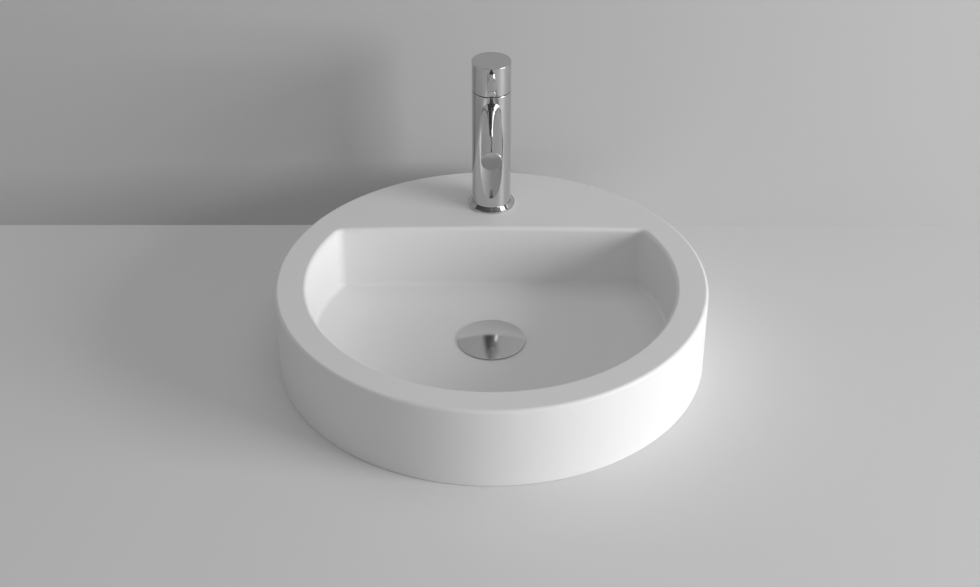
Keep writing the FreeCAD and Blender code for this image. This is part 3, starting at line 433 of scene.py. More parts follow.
class Bowl:
    """Outlines of the D-shaped bowl, all with the same number of points."""

    CORNER_STEPS = 16
    FRONT_STEPS = 48
    ROUND_STEPS = 224

    def __init__(self, sizes):
        self.radius = sizes.bowl_radius
        self.corner = sizes.corner_radius
        self.bow = sizes.deck_bow
        self.bow_y = sizes.deck_line - sizes.deck_bow
        self.corner_x, self.corner_y, self.side, self.tip = crossing(
            self.radius - self.corner, self.bow - self.corner, self.bow_y)
        self.angles = self.spread()

    def inset(self, depth):
        """The outline this far inside the bowl's wall, from its right corner on, anticlockwise."""
        half = math.pi
        corner = self.corner - depth
        return [
            *arc((self.corner_x, self.corner_y), corner, self.side, self.tip, self.CORNER_STEPS),
            *arc((0, self.bow_y), self.bow - depth, self.tip, half - self.tip, self.FRONT_STEPS),
            *arc((-self.corner_x, self.corner_y), corner, half - self.tip, half - self.side, self.CORNER_STEPS),
            *arc((0, 0), self.radius - depth, half - self.side, TAU + self.side, self.ROUND_STEPS),
        ]

    def spread(self):
        """Angles on a full circle that match the outline's points without crossing."""
        rear = 2 * self.CORNER_STEPS + self.FRONT_STEPS
        points = [Vector(point) for point in self.inset(0)]
        run = [0.0]
        for here, after in zip(points[:rear], points[1:rear + 1]):
            run.append(run[-1] + (after - here).length)
        open_angle = math.pi - 2 * self.side
        angles = [self.side + open_angle * step / run[-1] for step in run[:-1]]
        return angles + [math.atan2(point.y, point.x) for point in points[rear:]]

    def circle(self, radius, back=0.0):
        return [(radius * math.cos(angle), back + radius * math.sin(angle)) for angle in self.angles]


EDGE_STEPS = 14      # round an edge of the basin
FLOOR_SPANS = 12     # from the drain to the wall
HOLLOW_STEPS = 96    # along each side of the rear hollow


def basin_mesh(sizes):
    bowl = Bowl(sizes)
    top = high_of("basin")[2]
    outer = reach_of("basin")
    seat = low_of("waste_flange_seal")[2]
    # along and across a rounded edge, from its start to its end
    edge = [(1 - math.cos(angle), 1 - math.sin(angle))
            for angle in (TAU / 4 * step / EDGE_STEPS for step in range(EDGE_STEPS + 1))]

    def on_floor(points):
        return [(x, y, sizes.floor_height + sizes.floor_fall * math.hypot(x, y) / sizes.bowl_radius)
                for x, y in points]

    drain = bowl.circle(sizes.drain, middle("waste_body").y)
    hub = bowl.circle(sizes.recess, middle("waste_body").y)
    rings = [level(drain, sizes.foot_height), level(drain, seat), level(hub, seat)]
    border = bowl.inset(sizes.floor_round + GUARD)
    for share in (step / FLOOR_SPANS for step in range(FLOOR_SPANS + 1)):
        rings.append(on_floor([(a[0] + (b[0] - a[0]) * share, a[1] + (b[1] - a[1]) * share)
                               for a, b in zip(hub, border)]))
    foot = [point[2] for point in on_floor(bowl.inset(sizes.floor_round))]
    for rise, away in edge:
        points = bowl.inset(sizes.floor_round * away)
        rings.append([(x, y, low + sizes.floor_round * rise) for (x, y), low in zip(points, foot)])
    wall = bowl.inset(0)
    rings.append([(x, y, low + sizes.floor_round + GUARD) for (x, y), low in zip(wall, foot)])
    lip, rim, base = sizes.rim_inner_round, sizes.rim_outer_round, sizes.foot_round
    inner = outer - sizes.foot_width
    shell = [(wall, top - lip - GUARD)]
    shell += [(bowl.inset(-lip * out), top - lip * drop) for out, drop in edge]
    shell += [(bowl.inset(-lip - GUARD), top), (bowl.circle(outer - rim - GUARD), top)]
    shell += [(bowl.circle(outer - rim * away), top - rim * drop) for drop, away in edge]
    shell += [(bowl.circle(outer), top - rim - GUARD), (bowl.circle(outer), base + GUARD)]
    shell += [(bowl.circle(outer - base * away), base * rise) for away, rise in edge]
    shell += [(bowl.circle(outer - base - GUARD), 0.0)]
    shell += [(bowl.circle(inner), height) for height in (0.0, sizes.foot_height)]
    rings += [level(*row) for row in shell]
    mesh = skin(rings, joined=True)

    # room for hoses and a hand below the deck, open at the underside
    hollow_top = top - sizes.deck_thickness
    ledge = sizes.foot_width * 0.04
    reach = inner - ledge
    line = sizes.deck_line + sizes.bowl_wall
    bow = sizes.deck_bow + sizes.bowl_wall
    bow_y = line - bow
    _, _, start, tip = crossing(reach, bow, bow_y)
    area = arc((0, 0), reach, start, math.pi - start, HOLLOW_STEPS)
    area += arc((0, bow_y), bow, math.pi - tip, tip, HOLLOW_STEPS)
    past = sizes.foot_height
    hollow = prism(area, (0.0, (line + reach) / 2), -past, hollow_top)
    tap_hole = rod(sizes.tap_hole, hollow_top - past, top + past, at("mixer_body"), SEGMENTS)
    return carve(mesh, hollow, tap_hole)


# Mixer

def body_mesh(sizes):
    low, top = span("mixer_body")
    radius = high_of("mixer_body")[0]
    thread_low = top - sizes.nut_thread_depth
    chamber_floor = low_of("cartridge_base")[2]
    spout = middle("spout")
    spigot = sizes.spigot + sizes.fit
    fence = spigot * 1.17      # rings above and below the spout's hole
    mesh = turned([
        (0, low), (radius, low), (radius, low + GUARD), (radius, spout.z - fence),
        (radius, spout.z + fence), (radius, top, sizes.edge_round), (sizes.nut_thread, top),
        (sizes.nut_thread, thread_low), (sizes.chamber, thread_low), (sizes.chamber, chamber_floor),
        (0, chamber_floor),
    ], at("mixer_body"))
    cutters = []
    for mount in RECORD["mounts"]:
        if mount["name"] in ("left_inlet", "right_inlet"):
            across, back, _ = mount["pos_m"]
            thread = mount["dims"]["r_mm"] / 1000
            passage = thread * 0.55
            place = Matrix.Translation((across, back, 0))
            cutters.append(rod(thread, low - thread, low + mount["dims"]["length_mm"] / 1000, place))
            cutters.append(rod(passage, low, chamber_floor + thread, place))
    stud_end = high_of("fixing_stud")[2]
    cutters.append(rod(reach_of("fixing_stud") + sizes.fit, low - spigot, stud_end, at("fixing_stud")))
    seat = high_of("spout")[1] + 4 * sizes.fit
    cutters.append(rod(spigot, 0, radius * 2, facing(seat, spout.z), SEGMENTS))
    return carve(mesh, *cutters)


def flange_mesh(sizes):
    deck, top = span("base_flange")
    rim = deck + sizes.flange_rim
    radius = reach_of("base_flange")
    seal = reach_of("base_seal") + sizes.fit
    seal_top = high_of("base_seal")[2]
    floor = seal_top + sizes.flange_floor
    shoulder = high_of("mixer_body")[0] + sizes.fit
    edge = sizes.edge_round
    return turned([
        (sizes.flange_hole, seal_top), (seal, seal_top), (seal, deck), (radius, deck),
        (radius, rim, edge / 4), (sizes.flange_shoulder, rim, edge / 4),
        (shoulder + edge, top, edge / 4), (shoulder, top), (shoulder, floor),
        (sizes.flange_hole, floor),
    ], at("base_flange"), closed=True)


def spout_mesh(sizes):
    axis = middle("mixer_body").y
    height = middle("spout").z
    radius = reach_of("spout")
    reach = axis - low_of("spout")[1]
    spigot_end = axis - high_of("spout")[1]
    seat = high_of("mixer_body")[0] + sizes.fit

    def ring(across, ahead, coped=False, lean=0.0):
        """A ring round the spout's axis, coped to the column's round or leaning at the tip."""
        points = []
        for step in range(SEGMENTS):
            x = across * math.sin(TAU * step / SEGMENTS)
            z = across * math.cos(TAU * step / SEGMENTS)
            out = ahead + (math.sqrt(seat ** 2 - x ** 2) if coped else 0.0) - lean * (radius - z)
            points.append((x, axis - out, height + z))
        return points

    bore_end = reach - sizes.spout_end_wall
    outlet = axis - middle("aerator_housing").y
    hole = reach_of("aerator_housing") + sizes.fit
    fence = hole * 1.15        # rings on both sides of the outlet
    rings = [
        [(0, axis - bore_end, height)],
        ring(sizes.spout_bore, bore_end),
        ring(sizes.spout_bore, spigot_end),
        ring(sizes.spigot, spigot_end),
        ring(sizes.spigot, 0, True),
        ring(radius, 0, True),
        ring(radius, GUARD, True),
        ring(radius, outlet - fence),
        ring(radius, outlet + fence),
    ]
    tip = outline([(radius, outlet + fence), (radius, reach, sizes.edge_round), (0, reach)])
    lean = sizes.spout_lean / (2 * radius)
    rings += [ring(*point, lean=lean) for point in tip[1:-1]]
    rings.append([(0, axis - reach + lean * radius, height)])
    under = height - radius * 2
    return carve(skin(rings),
                 rod(hole, under, high_of("aerator_seal")[2], at("aerator_housing"), SEGMENTS),
                 rod(sizes.throat, under, height, at("aerator_housing")))


def cap_mesh(sizes):
    low, top = span("handle_cap")
    radius = reach_of("handle_cap")
    roof = low + sizes.cap_cavity_height
    axis = middle("handle_cap").y
    lever = middle("pin_lever").z
    lever_radius = reach_of("pin_lever") + sizes.fit
    fence = lever_radius * 1.3     # rings above and below the lever
    mesh = turned([
        (sizes.cap_cavity, low), (radius, low, sizes.edge_round / 2), (radius, lever - fence),
        (radius, lever + fence), (radius, top, sizes.edge_round), (0, top), (0, roof),
        (sizes.cap_cavity, roof),
    ], at("handle_cap"), closed=True)
    # the rear of the lower edge is cut back, so that the cap can tip to the lift's limit
    lift = joint("handle_lift")
    tip = Matrix.Translation(lift["pos_m"]) @ Matrix.Rotation(math.radians(lift["range_deg"][1]), 4, "X")
    stem = reach_of("handle_stem") + sizes.fit
    stem_top = high_of("handle_stem")[2] + sizes.fit
    seat = axis - radius + sizes.lever_seat
    deep = high_of("pin_lever")[1] + sizes.fit
    ahead = radius * 2
    return carve(
        mesh,
        block((-ahead, 0, -radius), (ahead, ahead, 0), tip),
        block((-stem, axis - stem, roof - stem), (stem, axis + stem, stem_top)),
        rod(lever_radius, 0, ahead, facing(seat, lever)),
        rod(sizes.lever_spigot + sizes.fit, 0, ahead, facing(deep, lever)),
        rod(reach_of("grub_cover") + sizes.fit, 0, ahead, facing(axis, lever, REARWARD)),
    )


def lever_mesh(sizes):
    front, rear = span("pin_lever", 1)
    seat = rear - low_of("handle_cap")[1] - sizes.lever_seat
    radius = reach_of("pin_lever")
    return turned([
        (0, 0), (sizes.lever_spigot, 0), (sizes.lever_spigot, seat), (radius, seat),
        (radius, seat + GUARD), (radius, rear - front, sizes.edge_round), (0, rear - front),
    ], facing(rear, middle("pin_lever").z), count=SMALL_SEGMENTS)


def button_mesh(sizes):
    front, rear = span("grub_cover", 1)
    radius = reach_of("grub_cover")
    return turned([
        (0, 0), (radius, 0), (radius, rear - front, sizes.edge_round / 2), (0, rear - front),
    ], facing(front, middle("grub_cover").z, REARWARD), count=SMALL_SEGMENTS)


# Waste

DOME_STEPS = 40
DOME_START = 0.985       # the dome's first ring, close to the cap's edge


def waste_cap_mesh(sizes):
    low, top = span("waste_cap")
    radius = reach_of("waste_cap")
    edge = low + sizes.cap_edge
    rise = top - edge
    dome = (radius ** 2 + rise ** 2) / (2 * rise)
    slope = math.asin(radius / dome)
    corners = [(0, low), (radius, low, sizes.cap_edge / 5), (radius, edge, sizes.cap_edge / 3)]
    shares = [DOME_START] + [1 - step / DOME_STEPS for step in range(2, DOME_STEPS + 1)]
    for angle in (slope * share for share in shares):
        corners.append((dome * math.sin(angle), top - dome * (1 - math.cos(angle))))
    return turned(corners, at("waste_cap"))


def waste_tube_mesh(sizes):
    low, top = span("waste_body")
    root = sizes.thread - sizes.thread_depth
    neck = root - sizes.thread_depth / 2
    under = top - sizes.flange_thickness
    relief = -sizes.relief_top
    relief_low = relief - sizes.relief_width
    radius = reach_of("waste_body")
    edge = sizes.flange_thickness / 4
    return turned([
        (sizes.bore, low), (root, low), (root, relief_low), (neck, relief_low), (neck, relief),
        (root, relief), (root, under), (radius, under), (radius, top, edge), (sizes.bore, top, edge),
    ], at("waste_body"), closed=True)


# Node trees for coils and grids

def add(tree, kind, *wired, **values):
    """A node. Names in small letters are its settings, the others its inputs, and sockets are linked."""
    node = tree.nodes.new(kind)
    for name, value in values.items():
        if name.islower():
            setattr(node, name, value)
    spots = list(zip(node.inputs, wired))
    spots += [(node.inputs[name.replace("_", " ")], value) for name, value in values.items() if not name.islower()]
    for spot, value in spots:
        if isinstance(value, bpy.types.Node):
            value = value.outputs[0]
        if isinstance(value, bpy.types.NodeSocket):
            tree.links.new(value, spot)
        else:
            spot.default_value = value
    return node


def geometry_tree(name, **inputs):
    """A Geometry Nodes tree with inputs of these kinds."""
    tree = bpy.data.node_groups.new(name, "GeometryNodeTree")
    tree.is_modifier = True
    for label, kind in inputs.items():
        tree.interface.new_socket(label, in_out="INPUT", socket_type=f"NodeSocket{kind}")
    tree.interface.new_socket("Geometry", in_out="OUTPUT", socket_type="NodeSocketGeometry")
    return tree, tree.nodes.new("NodeGroupInput").outputs


def finish_tree(tree, geometry, place, finish):
    """Every tree ends in real geometry in its place, with its material."""
    move = add(tree, "GeometryNodeTransform", Geometry=geometry, Translation=place)
    real = add(tree, "GeometryNodeRealizeInstances", Geometry=move)
    paint = add(tree, "GeometryNodeSetMaterial", Geometry=real, Material=finish)
    add(tree, "NodeGroupOutput", paint)
    return tree


def coil_tree():
    """A helix with a swept section: a thread's ridge with four sides, a wire with more."""
    tree, given = geometry_tree("coil", Radius="Float", Pitch="Float", Turns="Float", Section="Float",
                                Sides="Int", Points="Int", Start="Vector", Finish="Material")
    rise = add(tree, "ShaderNodeMath", given["Pitch"], given["Turns"], operation="MULTIPLY")
    helix = add(tree, "GeometryNodeCurveSpiral", Resolution=given["Points"], Rotations=given["Turns"],
                Start_Radius=given["Radius"], End_Radius=given["Radius"], Height=rise)
    upright = add(tree, "GeometryNodeSetCurveNormal", mode="Z_UP", Curve=helix)
    section = add(tree, "GeometryNodeCurvePrimitiveCircle", Resolution=given["Sides"], Radius=given["Section"])
    sweep = add(tree, "GeometryNodeCurveToMesh", Fill_Caps=True, Curve=upright, Profile_Curve=section)
    return finish_tree(tree, sweep, given["Start"], given["Finish"])


def grid_tree():
    """Crossed slats inside a circle, each as long as its chord."""
    tree, given = geometry_tree("slat_grid", Radius="Float", Spacing="Float", Thickness="Float", Depth="Float",
                                Count="Int", Middle="Vector", Finish="Material")

    def maths(operation, *values):
        return add(tree, "ShaderNodeMath", *values, operation=operation)

    def vector(*values):
        return add(tree, "ShaderNodeCombineXYZ", *values)

    gaps = maths("SUBTRACT", given["Count"], 1)
    first = maths("MULTIPLY", maths("MULTIPLY", gaps, given["Spacing"]), -0.5)
    row = add(tree, "GeometryNodeMeshLine", Count=given["Count"], Start_Location=vector(first),
              Offset=vector(given["Spacing"]))
    slat = add(tree, "GeometryNodeMeshCube", Size=vector(given["Thickness"], 1.0, given["Depth"]))
    across = add(tree, "ShaderNodeSeparateXYZ", add(tree, "GeometryNodeInputPosition"))
    room = maths("SUBTRACT", maths("POWER", given["Radius"], 2.0), maths("POWER", across, 2.0))
    chord = maths("MULTIPLY", maths("SQRT", room), 2.0)
    spread = add(tree, "GeometryNodeInstanceOnPoints", Points=row, Instance=slat, Scale=vector(1.0, chord, 1.0))
    cross = add(tree, "GeometryNodeTransform", Geometry=spread, Rotation=(0, 0, TAU / 4))
    both = add(tree, "GeometryNodeJoinGeometry", Geometry=spread)
    tree.links.new(cross.outputs[0], both.inputs[0])
    return finish_tree(tree, both, given["Middle"], given["Finish"])


def grown(name, build, **values):
    """The plain mesh that a tree makes with these values."""
    tree = bpy.data.node_groups.get(name) or build()
    holder = linked("holder", bpy.data.meshes.new("holder"))
    modifier = holder.modifiers.new("tree", "NODES")
    modifier.node_group = tree
    for item in tree.interface.items_tree:
        if item.in_out == "INPUT":
            modifier[item.identifier] = values[item.name]
    return tidy(baked(holder))


def coil(node, radius, pitch, section, low, high, sides, points):
    """A helix on a node's axis between two heights, with so many points to a turn."""
    centre = middle(node)
    return grown("coil", coil_tree, Radius=radius, Pitch=pitch, Turns=(high - low - 2 * section) / pitch,
                 Section=section, Sides=sides, Points=points, Start=(centre.x, centre.y, low + section),
                 Finish=finish_of(node))


# Nuts and plain copies

NUT_CHAMFER = 0.577      # rise over run at a nut's corners, about 30 degrees
NUT_FACE = 0.985         # a nut's round face over its flats
PAST_CORNER = 1.001      # a turning just clear of a nut's corners


def nut_mesh(node, bore):
    """A hexagon nut with turned corners."""
    (_, front, low), (_, rear, high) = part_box(node)
    corner = reach_of(node)
    flats = (rear - front) / 2
    blank = skin([ring_of(bore, height, SMALL_SEGMENTS) for height in (low, high)]
                 + [hexagon(corner, height) for height in (high, low)], joined=True)
    cone = (corner - flats) * NUT_CHAMFER
    face, past = flats * NUT_FACE, corner * PAST_CORNER
    turning = turned([
        (0, low), (face, low), (past, low + cone), (past, high - cone), (face, high), (0, high),
    ], count=SMALL_SEGMENTS)
    mesh = carve(blank, turning, operation="INTERSECT")
    mesh.transform(at(node))
    return mesh


def hexagon(corner, height):
    """A hexagon with as many points as the bore, corners along X."""
    side = SMALL_SEGMENTS // 6
    corners = [Vector(point) for point in ring_of(corner, height, 6)]
    points = []
    for start, end in zip(corners, corners[1:] + corners[:1]):
        points += [tuple(start.lerp(end, step / side)) for step in range(side)]
    return points


def smooth_copy(node):
    """A merged copy of a node's mesh."""
    source = frame["nodes"][node].data
    mesh = bpy.data.meshes.new("piece")
    mesh.from_pydata([vertex.co for vertex in source.vertices], [],
                     [tuple(face.vertices) for face in source.polygons])
    return tidy(mesh, gap=1e-6, outward=False)


# Finishes

def shader_group(name, output, **inputs):
    """A shader group with these inputs and their defaults. It gives out one value."""
    tree = bpy.data.node_groups.new(name, "ShaderNodeTree")
    for label, default in inputs.items():
        kind = "NodeSocketVector" if isinstance(default, tuple) else "NodeSocketFloat"
        tree.interface.new_socket(label, in_out="INPUT", socket_type=kind).default_value = default
    tree.interface.new_socket(output, in_out="OUTPUT", socket_type="NodeSocketFloat")
    place = add(tree, "ShaderNodeTexCoord").outputs["Object"]
    return tree, tree.nodes.new("NodeGroupInput").outputs, place


def grain_group():
    """Fine even grain."""
    tree, given, place = shader_group("grain", "Height", Scale=1500.0, Roughness=0.5)
    noise = add(tree, "ShaderNodeTexNoise", Vector=place, Scale=given["Scale"], Detail=3.0,
                Roughness=given["Roughness"])
    add(tree, "NodeGroupOutput", noise)


def drift_group():
    """Slow soft change between two values."""
    tree, given, place = shader_group("drift", "Value", Scale=10.0, Low=0.0, High=1.0)
    noise = add(tree, "ShaderNodeTexNoise", Vector=place, Scale=given["Scale"], Detail=4.0, Roughness=0.55)
    spread = add(tree, "ShaderNodeMapRange", Value=noise, From_Min=0.3, From_Max=0.7,
                 To_Min=given["Low"], To_Max=given["High"])
    add(tree, "NodeGroupOutput", spread)


def lathe_group():
    """Fine lines left by turning, round an upright axis."""
    tree, given, place = shader_group("lathe_lines", "Height", Axis=(0.0, 0.0, 0.0), Spacing=0.0004)
    shift = add(tree, "ShaderNodeVectorMath", place, given["Axis"], operation="SUBTRACT")
    flat = add(tree, "ShaderNodeVectorMath", shift, (1, 1, 0), operation="MULTIPLY")
    away = add(tree, "ShaderNodeVectorMath", flat, operation="LENGTH").outputs["Value"]
    height = add(tree, "ShaderNodeSeparateXYZ", shift).outputs["Z"]
    total = add(tree, "ShaderNodeMath", away, height, operation="ADD")
    turns = add(tree, "ShaderNodeMath", total, given["Spacing"], operation="DIVIDE")
    lines = add(tree, "ShaderNodeTexNoise", noise_dimensions="1D", W=turns, Detail=1.0, Scale=1.0)
    add(tree, "NodeGroupOutput", lines)


def material(name, tint, **sockets):
    """A new material with constant values on its shader's own sockets."""
    made = bpy.data.materials.new(name)
    made.use_nodes = True
    made.diffuse_color = (*tint, 1.0)
    shader = made.node_tree.nodes["Principled BSDF"]
    shader.inputs["Base Color"].default_value = (*tint, 1.0)
    for label, value in sockets.items():
        shader.inputs[label.replace("_", " ")].default_value = value
    return made.node_tree, shader


def effect(tree, name, **values):
    return add(tree, "ShaderNodeGroup", node_tree=bpy.data.node_groups[name], **values)


def coat(name, tint, drift, tone=None, relief=None, **sockets):
    """A finish. Its roughness drifts, its colour can drift to a darker tone, and it can have fine relief."""
    tree, shader = material(name, tint, **sockets)
    if tone:
        scale, change = tone
        mix = add(tree, "ShaderNodeMix", data_type="RGBA", Factor=effect(tree, "drift", Scale=scale),
                  A=(*tint, 1.0), B=(*(part * (1 - change) for part in tint), 1.0))
        tree.links.new(mix.outputs["Result"], shader.inputs["Base Color"])
    scale, low, high = drift
    wear = effect(tree, "drift", Scale=scale, Low=low, High=high)
    tree.links.new(wear.outputs[0], shader.inputs["Roughness"])
    if relief:
        group, values, depth, strength = relief
        bump = add(tree, "ShaderNodeBump", Height=effect(tree, group, **values), Distance=depth, Strength=strength)
        tree.links.new(bump.outputs["Normal"], shader.inputs["Normal"])


def grain(scale, depth, strength):
    return "grain", {"Scale": scale}, depth, strength


def lathe_lines(node):
    return "lathe_lines", {"Axis": tuple(middle(node))}, 0.00003, 0.35


# Stage

STAGE_REACH = 4.0                                # floor and backdrop, to each side
CEILING_REACH, CEILING_HEIGHT = 4.5, 2.3
CEILING_FRONT, CEILING_REAR = -5.6, 0.24
LAMPS = {                                        # place, target, size and the rays that miss the lamp
    "key": ((3.06, -1.25, 0.86), (-0.5, -0.4, 0.05), (1.6, 1.4), ()),
    "top": ((0, 0, 2.6), (0, 0, 0), (3, 3), ("glossy",)),
    "accent": ((1.11, -0.30, 0.98), (0, 0.15, 0.09), (0.5, 0.22), ("diffuse",)),
    "streak": ((1.54, -1.11, 1.24), (0, 0.09, 0.22), (1.0, 0.19), ("diffuse",)),
}
SENSOR_WIDTH = 36.0                              # millimetres
CAMERA_PLACE = (-0.0014, -1.3791, 0.9969)
CAMERA_TILT = math.radians(56.065)               # up from straight down


def hide(item, rays):
    for ray in rays:
        setattr(item, f"visible_{ray}", False)


def sheet(name, corners, paint, *rays):
    """A flat sheet of the stage, which rays of these kinds miss."""
    mesh = bpy.data.meshes.new(name)
    mesh.from_pydata(corners, [], [(0, 1, 2, 3)])
    item = linked(name, mesh)
    mesh.materials.append(paint)
    hide(item, rays)


def stage_paint(name, tint, roughness=0.9, gloss=0.1, see_through=False):
    """Plain paint, matt or silky. From behind, the backdrop can be seen through."""
    tree, shader = material(name, tint, Roughness=roughness, Specular_IOR_Level=gloss)
    if see_through:
        behind = add(tree, "ShaderNodeNewGeometry").outputs["Backfacing"]
        mix = add(tree, "ShaderNodeMixShader", behind, shader, add(tree, "ShaderNodeBsdfTransparent"))
        tree.links.new(mix.outputs[0], tree.nodes["Material Output"].inputs["Surface"])
    return bpy.data.materials[name]


def lamp(name, place, target, size, energy):
    light = bpy.data.lights.new(name, "AREA")
    light.shape = "RECTANGLE"
    light.size, light.size_y = size
    light.energy = energy
    item = linked(name, light)
    item.location = place
    item.rotation_euler = (Vector(target) - Vector(place)).to_track_quat("-Z", "Y").to_euler()
    return item


def surround(scene, studio):
    """Even light on the object, and a pale surround for the camera and for reflections."""
    world = bpy.data.worlds.new("studio")
    world.use_nodes = True
    tree = world.node_tree
    light = tree.nodes["Background"]
    light.inputs["Color"].default_value = (1, 1, 1, 1)
    light.inputs["Strength"].default_value = studio.ambient
    pale = add(tree, "ShaderNodeBackground", Color=(1, 1, 1, 1), Strength=studio.surround)
    path = tree.nodes.new("ShaderNodeLightPath").outputs
    seen = path["Is Camera Ray"]
    for name in ("Is Glossy Ray", "Is Transmission Ray"):
        seen = add(tree, "ShaderNodeMath", seen, path[name], operation="MAXIMUM")
    mix = add(tree, "ShaderNodeMixShader", seen, light, pale)
    tree.links.new(mix.outputs[0], tree.nodes["World Output"].inputs["Surface"])
    scene.world = world


# Operators

class PieceOperator:
    """What the operators share."""

    bl_options = {"REGISTER", "UNDO"}


class BASIN_OT_mix_finishes(PieceOperator, bpy.types.Operator):
    """Make the finishes and give them to the CAD nodes"""

    bl_idname = "basin.mix_finishes"
    bl_label = "Mix finishes"

    def execute(self, context):
        tints = context.scene.finish_colours
        grain_group()
        drift_group()
        lathe_group()
        coat("matte_white", tints.white, (60.0, 0.46, 0.54), (7.0, 0.012), grain(2600.0, 0.00002, 0.25),
             Specular_IOR_Level=0.42)
        coat("polished_chrome", tints.chrome, (45.0, 0.03, 0.06), Metallic=1.0)
        coat("satin_chrome", tints.satin, (45.0, 0.11, 0.14), Metallic=1.0)
        coat("black_rubber", tints.rubber, (120.0, 0.62, 0.8), (90.0, 0.35), grain(2200.0, 0.00004, 0.4),
             Specular_IOR_Level=0.3)
        for name, tint in (("grey_moulding", tints.grey), ("pale_moulding", tints.pale)):
            coat(name, tint, (150.0, 0.36, 0.5), (60.0, 0.06), grain(3200.0, 0.00002, 0.3))
        coat("plated_button", tints.chrome, (220.0, 0.07, 0.14), relief=grain(500.0, 0.000004, 0.15),
             Metallic=1.0)
        coat("bright_steel", tints.steel, (260.0, 0.2, 0.3), (110.0, 0.08), lathe_lines("fixing_stud"),
             Metallic=1.0)
        coat("machined_brass", tints.brass, (260.0, 0.22, 0.34), (110.0, 0.2), lathe_lines("mixer_body"),
             Metallic=1.0)
        coat("lapped_ceramic", tints.ceramic, (300.0, 0.12, 0.2), (240.0, 0.05))
        for node, cad in frame["nodes"].items():
            cad.data.materials.clear()
            cad.data.materials.append(finish_of(node))
        return {"FINISHED"}


class BASIN_OT_cast_basin(PieceOperator, bpy.types.Operator):
    """Loft the basin with its D-shaped bowl, rear hollow and holes"""

    bl_idname = "basin.cast_basin"
    bl_label = "Cast basin"

    def execute(self, context):
        deliver("basin_casting", basin_mesh(context.scene.basin_sizes), "basin")
        return {"FINISHED"}


class BASIN_OT_turn_column(PieceOperator, bpy.types.Operator):
    """Turn the mixer's upright body and its base flange"""

    bl_idname = "basin.turn_column"
    bl_label = "Turn column"

    def execute(self, context):
        sizes = context.scene.mixer_sizes
        deliver("mixer_column", body_mesh(sizes), "mixer_body")
        deliver("base_flange_ring", flange_mesh(sizes), "base_flange")
        return {"FINISHED"}


class BASIN_OT_make_spout(PieceOperator, bpy.types.Operator):
    """Make the spout and the aerator's grid"""

    bl_idname = "basin.make_spout"
    bl_label = "Make spout"

    SLATS = 9
    RIM = 0.9             # the rim's inside over its outside
    THICKNESS = 0.055     # a slat's, over the grid's radius
    DEPTH = 0.8           # a slat's, over the grid's height

    def execute(self, context):
        deliver("spout_tube", spout_mesh(context.scene.mixer_sizes), "spout")
        low, high = span("aerator_insert")
        radius = reach_of("aerator_insert")
        rim = radius * self.RIM
        ring = turned([(rim, low), (radius, low), (radius, high), (rim, high)],
                      at("aerator_insert"), closed=True, count=SMALL_SEGMENTS)
        slats = grown("slat_grid", grid_tree, Radius=(rim + radius) / 2, Spacing=rim * 2 / (self.SLATS + 1),
                      Thickness=radius * self.THICKNESS, Depth=(high - low) * self.DEPTH, Count=self.SLATS,
                      Middle=tuple(middle("aerator_insert")), Finish=finish_of("aerator_insert"))
        deliver("aerator_grid", merged(ring, slats), "aerator_insert")
        return {"FINISHED"}


class BASIN_OT_make_handle(PieceOperator, bpy.types.Operator):
    """Turn the handle's cap, its pin lever and the button at its rear"""

    bl_idname = "basin.make_handle"
    bl_label = "Make handle"

    def execute(self, context):
        sizes = context.scene.mixer_sizes
        deliver("handle_head", cap_mesh(sizes), "handle_cap")
        deliver("lever_pin", lever_mesh(sizes), "pin_lever")
        deliver("grub_button", button_mesh(sizes), "grub_cover")
        return {"FINISHED"}


class BASIN_OT_make_waste(PieceOperator, bpy.types.Operator):
    """Make the domed cap, the threaded tube, its back nut and the spring"""

    bl_idname = "basin.make_waste"
    bl_label = "Make waste"

    RIDGE = 1.3           # the swept ridge over the thread's depth
    HUB_BORE = 0.76       # the hub's bore over the click housing's radius
    ARM_START = 0.97      # the arms start inside the hub
    SPRING_PITCHES = 5    # in the spring's whole length
    PRESS = 1.2           # play under the pressed cap, over its travel

    def execute(self, context):
        sizes = context.scene.waste_sizes
        deliver("waste_dome", waste_cap_mesh(sizes), "waste_cap", finish="satin_chrome")
        tube = waste_tube_mesh(sizes)
        axis = at("waste_body")
        low, top = span("waste_body")
        section = sizes.thread_depth * self.RIDGE
        relief = -sizes.relief_top
        threads = [coil("waste_body", sizes.thread - section, sizes.thread_pitch, section, start, end,
                        sides=4, points=72)
                   for start, end in ((low, relief - sizes.relief_width), (relief, top - sizes.flange_thickness))]
        hub_high = top - sizes.spider_drop
        hub_low = hub_high - sizes.spider_height
        bore = reach_of("waste_click_housing") * self.HUB_BORE
        hub = turned([(bore, hub_low), (sizes.spider_hub, hub_low), (sizes.spider_hub, hub_high),
                             (bore, hub_high)], axis, closed=True, count=SMALL_SEGMENTS)
        half = sizes.spider_arm / 2
        arms = [block((sizes.spider_hub * self.ARM_START, -half, hub_low), (sizes.bore + half / 4, half, hub_high),
                      axis @ Matrix.Rotation(TAU * index / 4, 4, "Z")) for index in range(4)]
        deliver("waste_tube", merged(tube, hub, *arms, *threads), "waste_body")
        wire = sizes.wire
        deliver("back_nut", nut_mesh("waste_back_nut", sizes.thread + wire / 8), "waste_back_nut")
        low, top = span("waste_spring")
        press = self.PRESS * joint("waste_lift")["range_m"][0]
        spring = coil("waste_spring", reach_of("waste_spring") - wire, (top - low) / self.SPRING_PITCHES, wire,
                      low, top + press, sides=12, points=48)
        deliver("click_spring", spring, "waste_spring")
        return {"FINISHED"}


